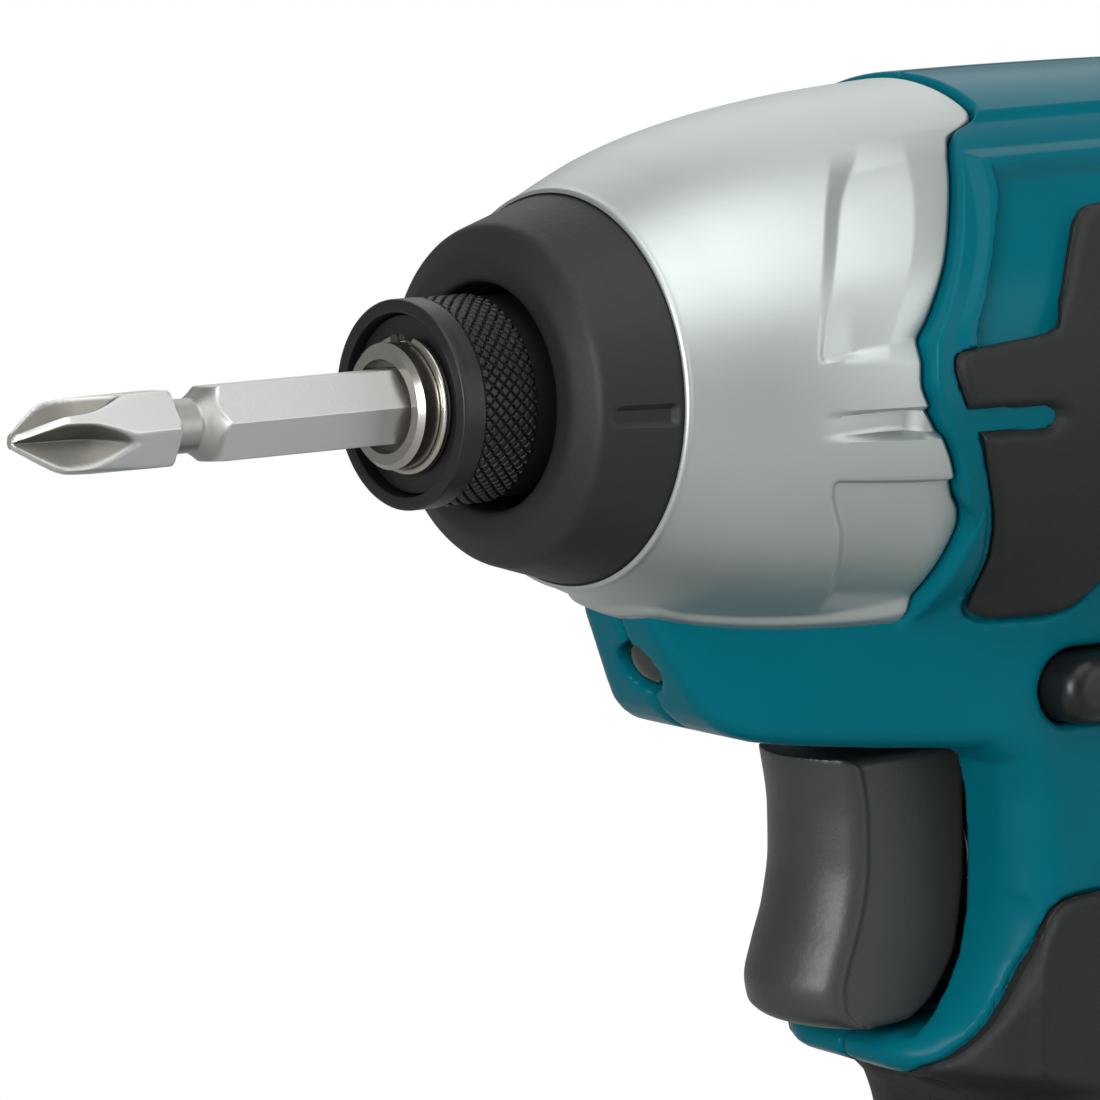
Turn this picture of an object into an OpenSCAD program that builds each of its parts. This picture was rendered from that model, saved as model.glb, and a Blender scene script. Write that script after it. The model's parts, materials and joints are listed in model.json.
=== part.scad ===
// Cordless impact driver with a hexagon bit, a slide-on battery and a two-half pistol housing.
// +X points along the bit, +Y to the tool's left, +Z up. The origin is the middle of the battery's underside.
// Places along the drive axis are setbacks: distances behind the front face of the bit sleeve.

/* [Overall] */
// Height of the drive axis above the battery's underside
axis_height = 212; // [205:1:222]
// Distance from the battery's middle forward to the sleeve's front face
nose_reach = 86; // [82:1:90]
// Overrun of every cut past the face it opens
over = 1; // [0.5:0.5:2]

/* [Clearances] */
// Radial gap of a running fit
running_gap = 0.06; // [0.03:0.01:0.1]
// Gap round a piece that is pressed or laid into a seat
seat_gap = 0.03; // [0.02:0.01:0.06]
// Gap between pieces that move past each other
body_gap = 0.4; // [0.3:0.05:0.6]
// Gap along the line between the hammer case and the housing
seam_gap = 0.35; // [0.3:0.05:0.5]
// Gap round the soft grips in their recesses
grip_gap = 0.15; // [0.1:0.05:0.3]

/* [Bit] */
// Length of the double-ended bit
bit_len = 65; // [60:1:66]
// How far the bit stands out in front of the sleeve
bit_reach = 40; // [36:1:41]
// Width of the hexagon across its flats
hex_af = 6.35; // [6:0.05:6.5]
// Length of each head in front of its neck
bit_head_len = 15.9; // [14:0.1:17]
// Length of the neck groove
bit_neck_len = 2.2; // [1.8:0.1:2.6]
// Radius of the neck
bit_neck_r = 2.3; // [2:0.1:2.6]
// Turn of the hexagon about the axis, in degrees
hex_turn = 24.8; // [0:0.1:60]
// Radius of the blunt point of the cross tip
bit_point_r = 0.9; // [0.6:0.1:1.2]
// Length of the tapered cross tip
bit_tip_len = 8.5; // [7:0.1:10]
// Half width of a flute at the point
flute_half_w = 1.3; // [1:0.1:1.6]

/* [Anvil] */
// Radius of the anvil's shaft
anvil_r = 5.5; // [5.2:0.1:6]
// How far the anvil's nose stands out of the sleeve
anvil_nose = 1.8; // [1:0.1:2.5]
// Extra room across the flats of the hexagon socket
socket_room = 0.15; // [0.1:0.05:0.3]
// Room behind the bit's tail in the socket
socket_end_room = 0.5; // [0.3:0.1:1]
// Thickness of the anvil's wall behind the socket
anvil_web = 1.9; // [1.5:0.1:2.5]
// Thickness of the striking ears
ear_len = 6; // [5:0.1:7]
// Radius of the striking ears
ear_r = 14.3; // [13:0.1:14.6]
// Width of the striking ears
ear_w = 8.5; // [7:0.1:9.5]
// Radius of the round mouth in front of the hexagon
mouth_r = 4.1; // [3.9:0.1:4.4]
// Depth of the round mouth
mouth_depth = 2; // [1.5:0.1:3]
// Radius of the detent balls
detent_r = 1.55; // [1.4:0.05:1.6]

/* [Sleeve] */
// Wall of the sleeve round its spring
sleeve_wall = 1.21; // [1:0.01:1.4]
// Length of the sleeve
sleeve_len = 13.6; // [13:0.1:14]
// Width of the plain lip in front of the knurling
sleeve_lip_len = 2.6; // [2:0.1:3.5]
// Depth of the knurled band below the lip
knurl_depth = 0.35; // [0.2:0.05:0.5]
// Room round the sleeve's spring
chamber_room = 0.69; // [0.5:0.01:0.8]
// Thickness of the wall that the spring pushes on
sleeve_web = 0.8; // [0.6:0.1:1.2]
// Length of the collar that holds the balls in
collar_len = 3.4; // [3:0.1:3.6]
// Thickness of the collar
collar_wall = 0.6; // [0.4:0.05:0.7]
// Radius of the wire of the sleeve's spring
sleeve_wire_r = 0.35; // [0.25:0.05:0.4]
// How far the sleeve is pulled forward
sleeve_travel = 4.5; // [4:0.1:4.6]
// Room round the washer in the sleeve
washer_room = 0.25; // [0.2:0.05:0.4]
// Thickness of the washer in the sleeve
sleeve_washer_t = 0.8; // [0.6:0.1:1]
// Radius of the wire of the snap ring
snap_wire_r = 0.45; // [0.35:0.05:0.5]
// Setback of the middle of the snap ring
snap_setback = 0.65; // [0.6:0.05:0.8]

/* [Bumper] */
// Setback of the bumper's front face
bumper_front = 9; // [8.5:0.1:10]
// Room round the sleeve in the bumper's mouth
bumper_room = 0.84; // [0.6:0.02:1.2]
// Radius of the bumper's flat front ring
bumper_flat_r = 12.6; // [12:0.1:13.4]
// Radius of the bumper's front shoulder
bumper_shoulder_r = 15.2; // [14.6:0.1:16]
// Setback of the bumper's front shoulder behind its front face
bumper_bevel = 1.4; // [1:0.1:2]
// Radius of the bumper's rear edge
bumper_rear_r = 17.4; // [17:0.1:17.6]

/* [Hammer case] */
// Setback of the case's front shoulder
case_front = 18.2; // [18:0.1:19]
// Radius of the case's front shoulder
case_front_r = 17.8; // [17.6:0.1:18.4]
// Largest radius of the case
case_r = 25.9; // [25.5:0.1:26.2]
// How far the case laps over the front of the gear carrier
case_overlap = 1.3; // [1.1:0.1:1.6]
// Radius of the nose tube that carries the bumper
nose_tube_r = 11.5; // [11:0.1:12]
// Length of the nose tube in front of the shoulder
nose_tube_len = 4; // [3.5:0.1:4.3]
// Radius of the bronze bush's seat
bush_r = 8.2; // [7.8:0.1:8.6]
// Radius of the room round the anvil's ears
ear_room_r = 16; // [15.8:0.1:16.4]
// Radius of the room round the hammer
hammer_room_r = 19; // [18.8:0.1:19.2]
// Setback of the foremost point of the wavy rear edge
case_edge_front = 40; // [38:0.1:42]
// Depth of the wavy rear edge, from its foremost point to its top
case_edge_depth = 18; // [16:0.1:19]
// Depth of the step that lets the housing lie over the case
case_step = 2.3; // [2:0.1:2.5]
// Radius of the hidden skirt of the case
skirt_r = 22.6; // [22.4:0.1:22.7]

/* [Hammer and spindle] */
// Radius of the hammer
hammer_r = 18.6; // [18:0.1:18.7]
// Length of the hammer
hammer_len = 19; // [18:0.1:19.5]
// How far the hammer recoils
hammer_travel = 8; // [7:0.1:8]
// Radius of the hammer's lugs
lug_r = 15.4; // [15:0.1:15.6]
// Inner radius of the hammer's lugs
lug_in_r = 10; // [9.8:0.1:10.5]
// Width of a lug across the ear's face
lug_w = 9; // [7:0.1:10]
// Radius of the spindle's shaft
spindle_r = 5.5; // [5:0.1:5.6]
// Radius of the spindle's pilot in the anvil
pilot_r = 3.4; // [3:0.1:3.5]
// Length of the pilot
pilot_len = 5.2; // [4.5:0.1:5.4]
// Radius of the planet carrier
carrier_r = 16.2; // [15.8:0.1:16.6]
// Thickness of each plate of the carrier
carrier_plate = 2.5; // [2:0.1:3]
// Radius of the carrier's rear journal
journal_r = 6.5; // [6.2:0.1:7]
// Radius of the cam balls
cam_ball_r = 2.2; // [2:0.1:2.4]
// Radius of the wire of the hammer's spring
hammer_wire_r = 1.2; // [1:0.1:1.3]
// Radius of the middle of the hammer's spring
hammer_coil_r = 10.6; // [10.2:0.1:10.8]
// Thickness of the washer in front of the hammer's spring
spring_washer_t = 0.8; // [0.6:0.1:1]

/* [Gears] */
// Gear module
gear_module = 0.6; // [0.58:0.01:0.61]
// Teeth of the sun pinion
sun_teeth = 12; // [12:12:12]
// Teeth of each planet gear
planet_teeth = 24; // [24:24:24]
// Pressure angle in degrees
pressure_angle = 25; // [22:1:26]
// Width of the gears
gear_w = 6; // [5:0.1:6.2]
// How much each flank is thinned for backlash
flank_thin = 0.08; // [0.06:0.01:0.1]
// Radius of the planet pins
planet_pin_r = 1.8; // [1.5:0.1:2]
// Outer radius of the ring gear
ring_r = 20.9; // [20.2:0.1:21]

/* [Motor] */
// Radius of the motor's shaft
shaft_r = 2.5; // [2.2:0.1:2.6]
// Radius of the rotor's iron core
core_r = 14.8; // [14:0.1:15]
// Length of the rotor's iron core
core_len = 16; // [14:0.1:16]
// Outer radius of the stator can
can_r = 21.5; // [21:0.1:21.6]
// Wall of the stator can
can_wall = 2.1; // [1.5:0.1:2.2]
// Radius of the fan
fan_r = 19.5; // [18:0.1:20]
// Blades of the fan
fan_blades = 12; // [8:1:16]
// Radius of the commutator
commutator_r = 7.5; // [7:0.1:8]
// Radius of the motor's front bearing
front_bearing_r = 8; // [7.5:0.1:8.5]
// Radius of the motor's rear bearing
rear_bearing_r = 6.5; // [6:0.1:7]
// Radius of the spindle's bearing
spindle_bearing_r = 10.5; // [10:0.1:11]
// Width of the bearings
bearing_w = 4.5; // [4:0.1:5]

/* [Housing] */
// Largest radius of the motor housing
barrel_r = 26.7; // [26.3:0.1:27.2]
// Inner radius of the motor housing
barrel_in_r = 23; // [22.9:0.05:23.2]
// How far the motor housing reaches past the commutator's front
barrel_tail = 4; // [3.5:0.1:5]
// Length of the rear cover behind the motor housing
cover_len = 14.2; // [13:0.1:16]
// Wall of the handle
handle_wall = 3; // [2.6:0.1:3.4]
// Half width of the chin under the hammer case
chin_half_w = 13.5; // [12.5:0.1:14.5]
// Depth of the chin's underside below the drive axis
chin_depth = 34.4; // [33:0.1:36]
// Corner radius of the chin
chin_round = 5; // [4:0.1:6]
// Setback of the chin's nose
chin_front = 21; // [20:0.1:23]
// Setback of the chin's rear end
chin_end = 66; // [62:0.1:70]

/* [Handle] */
// Drop of the handle's top below the drive axis
handle_top = 28; // [26:0.1:30]
// How deep the handle sinks into the foot
handle_sink = 4; // [3:0.5:6]
// Setback of the handle's middle at the top
handle_setback = 79; // [77:0.1:81]
// How far the handle leans back over its length
handle_lean = 7; // [5:0.1:9]
// Depth of the handle from front to back
handle_depth = 42; // [39:0.1:44]
// Width of the handle
handle_w = 34; // [32:0.1:35]
// Corner radius of the handle
handle_round = 12; // [11:0.1:13]
// Thickness of the soft grips
grip_t = 1.3; // [1:0.1:1.5]
// Length of the lip under the trigger
lip_len = 10; // [9:0.1:12]

/* [Foot] */
// Length of the foot
foot_len = 86; // [84:0.5:88]
// Setback of the foot's front edge
foot_front = 54.5; // [54:0.1:55]
// Width of the foot
foot_w = 70; // [68:0.5:74]
// Height of the foot over the battery
foot_h = 16.6; // [15:0.1:19]
// Corner radius of the foot
foot_round = 5; // [4:0.1:6]

/* [Trigger] */
// Travel of the trigger
trigger_travel = 7; // [5:0.1:7.5]
// Width of the trigger
trigger_w = 14; // [13:0.1:16]
// Height of the trigger
trigger_h = 25.5; // [24:0.1:26]
// Depth of the trigger's top below the drive axis
trigger_top = 35.6; // [35.2:0.1:36.5]
// Setback of the trigger's front at its top
trigger_front = 44.9; // [44:0.1:46]
// Depth of the trigger from front to back
trigger_depth = 14.8; // [14:0.1:16]
// Radius of the trigger's plunger
plunger_r = 2.6; // [2.2:0.1:3]
// Radius of the spring's pocket in the trigger
trigger_pocket_r = 5.2; // [5:0.1:6]
// Radius of the wire of the trigger's spring
trigger_wire_r = 0.4; // [0.3:0.05:0.5]

/* [Switch and lever] */
// Setback of the switch's front
switch_front = 68.6; // [68.2:0.1:69.5]
// Length of the switch
switch_len = 19; // [17:0.1:20]
// Width of the switch
switch_w = 24.4; // [23.5:0.1:24.6]
// Height of the switch
switch_h = 22; // [20:0.1:23]
// Setback of the reversing lever
lever_setback = 66.4; // [65:0.1:67]
// Depth of the reversing lever below the drive axis
lever_depth = 29.4; // [29:0.1:29.8]
// Length of the lever's end along the tool
lever_w = 12.4; // [10:0.1:12.6]
// Height of the lever's end
lever_h = 6.6; // [6:0.1:6.8]
// Reach of the lever to each side
lever_reach = 20; // [19:0.1:21]
// Travel of the lever to each side
lever_travel = 2.5; // [2:0.1:3]

/* [Light] */
// Radius of the light's lens
lens_r = 2.4; // [2:0.1:2.8]
// Length of the lens
lens_len = 3.6; // [3:0.1:4]
// Downward tilt of the light in degrees
lens_tilt = 28; // [20:1:35]
// Setback of the lens
lens_setback = 27.3; // [26:0.1:28]
// Depth of the lens below the drive axis
lens_depth = 25.7; // [25:0.1:26.5]

/* [Battery] */
// Length of the battery
battery_len = 113; // [112:0.5:116]
// Width of the battery
battery_w = 75; // [74:0.5:78]
// Height of the battery's body
battery_h = 48.6; // [48.4:0.1:49]
// Height of the lower case
battery_split = 22; // [18:0.5:30]
// Wall of the battery's case
battery_wall = 2.5; // [2.2:0.1:3]
// Corner radius of the battery
battery_round = 6; // [5:0.1:8]
// Radius of a cell
cell_r = 9.1; // [8.9:0.05:9.2]
// Length of a cell
cell_len = 65; // [62:0.5:66]
// Pitch of the cells
cell_pitch = 20; // [19:0.1:20.2]
// Half width of the rail block
rail_half_w = 24; // [22:0.1:25]
// Reach of the rails past the rail block
rail_reach = 4; // [3:0.1:4.5]
// Height of the rail block
rail_h = 9; // [8.5:0.1:9.5]
// Thickness of the rails
rail_t = 3.6; // [3:0.1:4]
// How far the battery slides to come off
battery_travel = 80; // [78:0.5:90]
// Height of the raised front above the battery's body
hump_h = 11.4; // [10:0.1:12]
// Length of the raised front
hump_len = 24; // [22:0.1:24.5]
// Half width of the release button
button_half_w = 11; // [9:0.1:12]
// Travel of the release button
button_travel = 3; // [2:0.1:3.2]

/* [Fasteners] */
// Radius of the housing screws
screw_r = 1.5; // [1.4:0.05:1.6]
// Radius of the screw heads
screw_head_r = 3.1; // [2.8:0.1:3.3]
// Half length of a housing screw
screw_half_len = 9; // [8:0.1:9.5]
// Radius of the screw bosses
boss_r = 4.2; // [4:0.1:4.5]
// Radius of the thread in the hook inserts
hook_thread_r = 1.65; // [1.6:0.05:1.7]
// Outer radius of the hook inserts
insert_r = 3; // [2.8:0.1:3.2]
// Length of the hook inserts
insert_len = 6; // [5:0.1:6.2]

/* [Hidden] */

// Colours
teal = "#0f6f7e";
charcoal = "#38393b";
black = "#1d1e20";
silver = "#b9bfbb";
steel = "#9a9da0";
brass = "#b58a3c";
copper = "#a8602f";
dark_steel = "#55585c";

// Facet counts
$fn = 64;
hull_fn = 24;
shell_fn = 48;

// Setbacks along the drive axis
tail_setback = bit_len - bit_reach;
detent_setback = tail_setback - bit_head_len - detent_r - running_gap;
detent_out = anvil_r - detent_r;
socket_end = tail_setback + socket_end_room;
flange_front = socket_end - socket_end_room / 2;
ear_front = socket_end + anvil_web;
ear_end = ear_front + ear_len;
hammer_front = ear_end + body_gap;
hammer_end = hammer_front + hammer_len;
carrier_front = hammer_end + hammer_travel + 2 * body_gap;
case_end = carrier_front + case_overlap;
gear_front = carrier_front + carrier_plate + body_gap;
gear_end = gear_front + gear_w;
carrier_end = gear_end + body_gap + carrier_plate;
bearing_front = carrier_end + body_gap;
journal_end = bearing_front + bearing_w;
gear_case_front = case_end + 2 * seat_gap;
gear_case_floor = gear_end + 2 * body_gap;
motor_bearing_front = journal_end + 4 * body_gap;
motor_bearing_end = motor_bearing_front + bearing_w;
fan_front = motor_bearing_end + 3 * body_gap;
fan_len = 5.4;
winding_len = 4.4;
winding_front = fan_front + fan_len + 2 * body_gap;
core_front = winding_front + winding_len;
core_end = core_front + core_len;
winding_end = core_end + winding_len;
commutator_front = winding_end + body_gap;
barrel_end = commutator_front + barrel_tail;
commutator_len = 6.2;
rear_bearing_front = commutator_front + commutator_len + 3 * body_gap;
shaft_end = rear_bearing_front + bearing_w;
cover_end = barrel_end + cover_len;

// Gears
ring_teeth = sun_teeth + 2 * planet_teeth;
sun_pitch_r = gear_module * sun_teeth / 2;
planet_pitch_r = gear_module * planet_teeth / 2;
ring_pitch_r = gear_module * ring_teeth / 2;
orbit_r = sun_pitch_r + planet_pitch_r;
addendum_share = 0.9;
dedendum_share = 1.2;
addendum = addendum_share * gear_module;
dedendum = dedendum_share * gear_module;
planet_angles = [90, 210, 330];
flank_steps = 4;
pinion_bore_r = sun_pitch_r + addendum + body_gap / 2;
window_r = planet_pitch_r + addendum + body_gap;

// Sleeve
snap_r = anvil_r + snap_wire_r / 2;
sleeve_washer_front = snap_setback + snap_wire_r + seat_gap;
sleeve_spring_front = sleeve_washer_front + sleeve_washer_t;
sleeve_web_front = detent_setback + collar_len - body_gap;
collar_front = sleeve_web_front - collar_len;
collar_r = anvil_r + running_gap + collar_wall;
sleeve_coil_r = collar_r + body_gap + sleeve_wire_r;
chamber_r = sleeve_coil_r + sleeve_wire_r + chamber_room;
sleeve_r = chamber_r + sleeve_wall;
sleeve_washer_r = chamber_r - washer_room;
bumper_mouth_r = sleeve_r + bumper_room;
sleeve_bore_r = anvil_r + running_gap;
nose_tube_front = case_front - nose_tube_len;

// Foot and battery
foot_bottom = battery_h + 2 * body_gap;
foot_top = foot_bottom + foot_h;
handle_len = axis_height - handle_top - foot_top + handle_sink;
foot_x = nose_reach - foot_front;
foot_rear_x = foot_x - foot_len;
rail_top = battery_h + rail_h;
channel_top = rail_top + body_gap;
foot_rear_wall = 5;
rail_rear_x = foot_rear_x + foot_rear_wall;
hump_x = battery_len / 2 - hump_len;
cell_low_z = battery_wall + cell_r + body_gap;
cell_high_z = cell_low_z + 2 * cell_r + body_gap;
cell_columns = 5;
board_z = cell_high_z + cell_r + body_gap;
board_t = 1.6;
blade_t = 0.8;
blade_y = 12;
slot_half_w = 2.2;
blade_len = 16;
terminal_x = -34;
terminal_len = 36;
terminal_half_w = 15;
terminal_h = 4.4;
terminal_z = channel_top + body_gap;
button_depth = 12;
button_drop = 1.4;
button_sink = 1.6;
button_low = battery_h - button_drop;
button_high = battery_h + hump_h - button_sink;
button_pocket_low = button_low - button_travel - 2 * body_gap;
button_spring_r = 3;
button_wire_r = 0.35;
hook_x = 26.5;
hook_len = 4;
tongue_half_w = 6;
tongue_t = 2.6;
tongue_low = rail_top - tongue_t;
hook_rise = 2;
screw_inset = 4.4;
battery_screw_r = 1.2;
battery_screw_len = 24;
battery_head_t = 1.6;
insert_x = 5;
insert_z = foot_bottom + foot_round + insert_r;

// Case's rear edge in side view: shares of its depth and radius
case_edge_shares = [[1.05, 1.12], [1.0, 0.92], [0.90, 0.85], [0.70, 0.82], [0.57, 0.73], [0.42, 0.60],
    [0.27, 0.45], [0.10, 0.27], [0.02, 0.18], [0, 0.05], [0.06, -0.06], [0.20, -0.23], [0.32, -0.39],
    [0.41, -0.51], [0.39, -0.64], [0.44, -0.80], [0.40, -0.845], [0.0, -0.835], [-0.5, -0.81], [-0.95, -0.755],
    [-1.2, -0.70], [-2.2, -0.60]];
// Profiles: shares of the length, and of the largest radius
case_profile_shares = [[0, 0], [0.10, 0.205], [0.20, 0.40], [0.35, 0.605], [0.53, 0.77], [0.74, 0.90], [1, 1]];
barrel_profile_shares = [[0, 0.970], [0.20, 0.985], [0.40, 0.997], [0.55, 1], [0.72, 0.994], [0.88, 0.976],
    [1, 0.950]];
cover_profile_shares = [[0, 0.950], [0.35, 0.930], [0.62, 0.880], [0.82, 0.790], [0.94, 0.670], [1, 0.520]];
// Handle sections: shares of its length, lean, depth and width
handle_section_shares = [[0, 0, 1, 1], [0.25, -0.05, 0.98, 0.94], [0.50, 0.15, 0.91, 0.95], [0.75, 0.60, 0.88, 0.98],
    [1, 1, 0.95, 1.06]];
// Side grip: shares of its length and of its half height
side_grip_front = 41.5;
side_grip_len = 73;
side_grip_half_h = 23;
side_grip_shares = [[0.25, 0.635], [0.215, 0.51], [0.16, 0.24], [0.07, 0.18], [0, 0.148], [0.016, -0.02],
    [0.038, -0.056], [0.147, -0.073], [0.152, -0.142], [0.05, -0.142], [0.08, -0.30], [0.10, -0.505],
    [0.12, -0.72], [0.145, -0.83], [0.25, -0.85], [0.34, -0.80], [0.40, -0.66], [0.95, -0.50], [1, -0.34],
    [1, 0.42], [0.94, 0.60], [0.40, 0.68], [0.29, 0.66]];
// Handle grip: shares of the handle's depth from its middle, and of its length
handle_grip_shares = [[-0.85, 0.345], [-0.47, 0.34], [-0.42, 0.27], [-0.36, 0.19], [-0.2, 0.18], [0.2, 0.16],
    [0.75, 0.10], [0.9, 0.30], [1, 0.90], [0.2, 0.955], [-0.6, 0.90]];
// Trigger: shares of its depth behind its front, and of its height below its top
trigger_shares = [[0, 0], [0.03, 0.28], [0.0, 0.48], [-0.06, 0.66], [-0.125, 0.84], [-0.09, 0.90], [0.05, 0.945],
    [0.28, 1], [0.66, 0.99], [0.86, 0.86], [1, 0.60], [1, 0]];
// Housing screws: shares of the barrel's end, and of the chin's or the handle's drop
chin_screw_shares = [[0.40, 0.83], [0.86, 0.96]];
handle_screw_shares = [[0.58, 0.53], [0.61, 0.74], [0.80, 0.95], [0.545, 1]];
function screw_places_at(shares, drop) = [for (p = shares) [p[0] * barrel_end, -p[1] * drop]];
screw_places = concat(screw_places_at(chin_screw_shares, chin_depth),
    screw_places_at(handle_screw_shares, handle_top + handle_len));

// X of a setback, and a point on the row of a setback and a height over the drive axis
function sx(setback) = nose_reach - setback;
function spot(setback, y, height) = [sx(setback), y, axis_height + height];
// Radius of the hammer case at a share of its length
case_shape_len = case_edge_front + case_edge_depth - case_front;
function case_point(p) = [case_front_r + p[1] * (case_r - case_front_r), case_front + p[0] * case_shape_len];
case_points = [for (p = case_profile_shares) case_point(p)];
case_top_end = case_front + case_shape_len;
barrel_front = case_edge_front - seam_gap;
function barrel_point(p, cut) = [p[1] * barrel_r - cut, barrel_front + p[0] * (barrel_end - barrel_front)];

// Places children with their Z along the drive axis, towards the rear
module on_axis(setback) {
    translate(spot(setback, 0, 0))
        rotate([0, -90, 0])
            children();
}

// Turned piece from points of radius and setback
module turned(points) {
    on_axis(0)
        rotate_extrude()
            polygon(points);
}

// Plain ring on the drive axis
module axis_ring(r_out, r_in, setback, len) {
    turned([[r_in, setback], [r_out, setback], [r_out, setback + len], [r_in, setback + len]]);
}

// Plain disc on the drive axis
module axis_disc(r, setback, len) {
    on_axis(setback)
        cylinder(r = r, h = len);
}

// Side outline carried across the tool
module side_slab(points, y_low, y_high) {
    translate([nose_reach, y_high, axis_height])
        rotate([90, 0, 0])
            linear_extrude(y_high - y_low)
                polygon([for (p = points) [-p[0], p[1]]]);
}

// Box from a low to a high corner
module block(low, high) {
    translate(low)
        cube(high - low);
}

// Bar across the tool
module cross_bar(setback, height, r, y_low, y_high) {
    translate(spot(setback, y_high, height))
        rotate([90, 0, 0])
            cylinder(r = r, h = y_high - y_low);
}

// Rounded form: a hull of balls
module ball_hull(points, r) {
    hull() {
        for (p = points) {
            translate(p)
                sphere(r = r, $fn = hull_fn);
        }
    }
}

// Rectangle with true round corners
module round_rect(x, y, r) {
    square([x - 2 * r, y], center = true);
    square([x, y - 2 * r], center = true);
    for (i = [-1, 1], j = [-1, 1]) {
        translate([i * (x / 2 - r), j * (y / 2 - r)])
            circle(r = r);
    }
}

// Tube of six sides along a helix, closed at both ends, along Z
module helix_spring(coil_r, wire_r, len, turns) {
    rings = turns * 12;
    sides = 6;
    rise = len - 2 * wire_r;
    points = [for (i = [0:rings], k = [0:sides - 1])
        let (a = 360 * turns * i / rings, b = 360 * k / sides, r = coil_r + wire_r * cos(b))
        [r * cos(a), r * sin(a), wire_r + rise * i / rings + wire_r * sin(b)]];
    walls = [for (i = [0:rings - 1], k = [0:sides - 1])
        let (n = (k + 1) % sides, a = i * sides + k, b = i * sides + n)
        each [[a, b, a + sides], [b, b + sides, a + sides]]];
    front = [for (k = [1:sides - 2]) [0, k + 1, k]];
    rear = [for (k = [1:sides - 2]) [rings * sides, rings * sides + k, rings * sides + k + 1]];
    polyhedron(points = points, faces = concat([for (f = walls) [f[2], f[1], f[0]]],
        [for (f = front) [f[2], f[1], f[0]]], [for (f = rear) [f[2], f[1], f[0]]]));
}

// Involute gear outline: half the tooth angle at a radius, in degrees
function involute(angle) = tan(angle) * 180 / PI - angle;
function half_tooth(pitch_r, tooth_w, r) =
    let (base_r = pitch_r * cos(pressure_angle), reach = max(r, base_r))
    tooth_w / pitch_r / 2 * 180 / PI + involute(pressure_angle) - involute(acos(base_r / reach));
module gear_outline(teeth, tooth_w, tip_r, root_r) {
    pitch_r = gear_module * teeth / 2;
    pitch = 360 / teeth;
    radii = [for (k = [0:flank_steps]) root_r + (tip_r - root_r) * k / flank_steps];
    rising = [for (r = radii) [r, -half_tooth(pitch_r, tooth_w, r)]];
    falling = [for (k = [flank_steps:-1:0]) [radii[k], half_tooth(pitch_r, tooth_w, radii[k])]];
    polygon([for (i = [0:teeth - 1], p = concat(rising, falling))
        p[0] * [cos(p[1] + i * pitch), sin(p[1] + i * pitch)]]);
}

// Hexagon along the drive axis
module hex_bar(across, setback, len) {
    on_axis(setback)
        rotate(hex_turn)
            cylinder(r = across / 2 / cos(30), h = len, $fn = 6);
}

bit_waist_share = 0.45;
flute_tilt = 22;
// Turned limits of one bit end, as points of radius and setback
module bit_end_limit(tip_setback, towards) {
    corner_r = hex_af / 2 / cos(30);
    waist = bit_tip_len * bit_waist_share;
    turned([[0, tip_setback], [bit_point_r, tip_setback + towards * bit_point_r / 4],
        [bit_neck_r + bit_point_r / 4, tip_setback + towards * waist],
        [corner_r, tip_setback + towards * bit_tip_len],
        [corner_r, tip_setback + towards * bit_head_len], [bit_neck_r, tip_setback + towards * bit_head_len],
        [bit_neck_r, tip_setback + towards * (bit_head_len + bit_neck_len)],
        [corner_r, tip_setback + towards * (bit_head_len + bit_neck_len + corner_r - bit_neck_r)],
        [corner_r, tip_setback + towards * bit_len / 2], [0, tip_setback + towards * bit_len / 2]]);
}

// Four flutes of a cross tip, deepest at the point
module bit_flutes(tip_setback, turn) {
    for (a = [0:90:270]) {
        on_axis(tip_setback)
            rotate([turn, 0, 0])
                rotate(a + 45)
                    translate([flute_half_w / 2, 0, 0])
                        rotate([0, flute_tilt, 0])
                            rotate(45)
                                translate([0, 0, -bit_tip_len])
                                    cube([hex_af, hex_af, 3 * bit_tip_len]);
    }
}

module screwdriver_bit() {
    color(steel)
        difference() {
            intersection() {
                hex_bar(hex_af, -bit_reach, bit_len);
                union() {
                    bit_end_limit(-bit_reach, 1);
                    bit_end_limit(tail_setback, -1);
                }
            }
            bit_flutes(-bit_reach, 0);
            bit_flutes(tail_setback, 180);
        }
}

module anvil() {
    color(steel)
        difference() {
            union() {
                turned([[0, -anvil_nose], [anvil_r - anvil_web / 4, -anvil_nose],
                    [anvil_r, -anvil_nose + anvil_web / 4], [anvil_r, flange_front],
                    [lug_in_r - body_gap, flange_front], [lug_in_r - body_gap, ear_end], [0, ear_end]]);
                intersection() {
                    axis_disc(ear_r, ear_front, ear_len);
                    on_axis(ear_front)
                        translate([-ear_r, -ear_w / 2, 0])
                            cube([2 * ear_r, ear_w, ear_len]);
                }
            }
            hex_bar(hex_af + socket_room, -anvil_nose - over, anvil_nose + over + socket_end);
            axis_disc(mouth_r, -anvil_nose - over, over + mouth_depth);
            axis_disc(pilot_r + running_gap, ear_end - pilot_len - body_gap, pilot_len + body_gap + over);
            axis_ring(anvil_r + over, snap_r - snap_wire_r - seat_gap, snap_setback - snap_wire_r - seat_gap,
                2 * snap_wire_r + 2 * seat_gap);
            translate(spot(detent_setback, anvil_r + over, 0))
                rotate([90, 0, 0])
                    cylinder(r = detent_r + running_gap, h = 2 * (anvil_r + over));
        }
}

module detent_balls() {
    color(dark_steel)
        for (side = [-1, 1]) {
            translate(spot(detent_setback, side * detent_out, 0))
                sphere(r = detent_r);
        }
}

snap_opening = 30;
module sleeve_snap_ring() {
    color(steel)
        on_axis(snap_setback)
            rotate(snap_opening / 2)
                rotate_extrude(angle = 360 - snap_opening)
                    translate([snap_r, 0])
                        circle(r = snap_wire_r);
}

module sleeve_washer() {
    color(black)
        axis_ring(sleeve_washer_r, anvil_r + running_gap, sleeve_washer_front, sleeve_washer_t);
}

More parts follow.
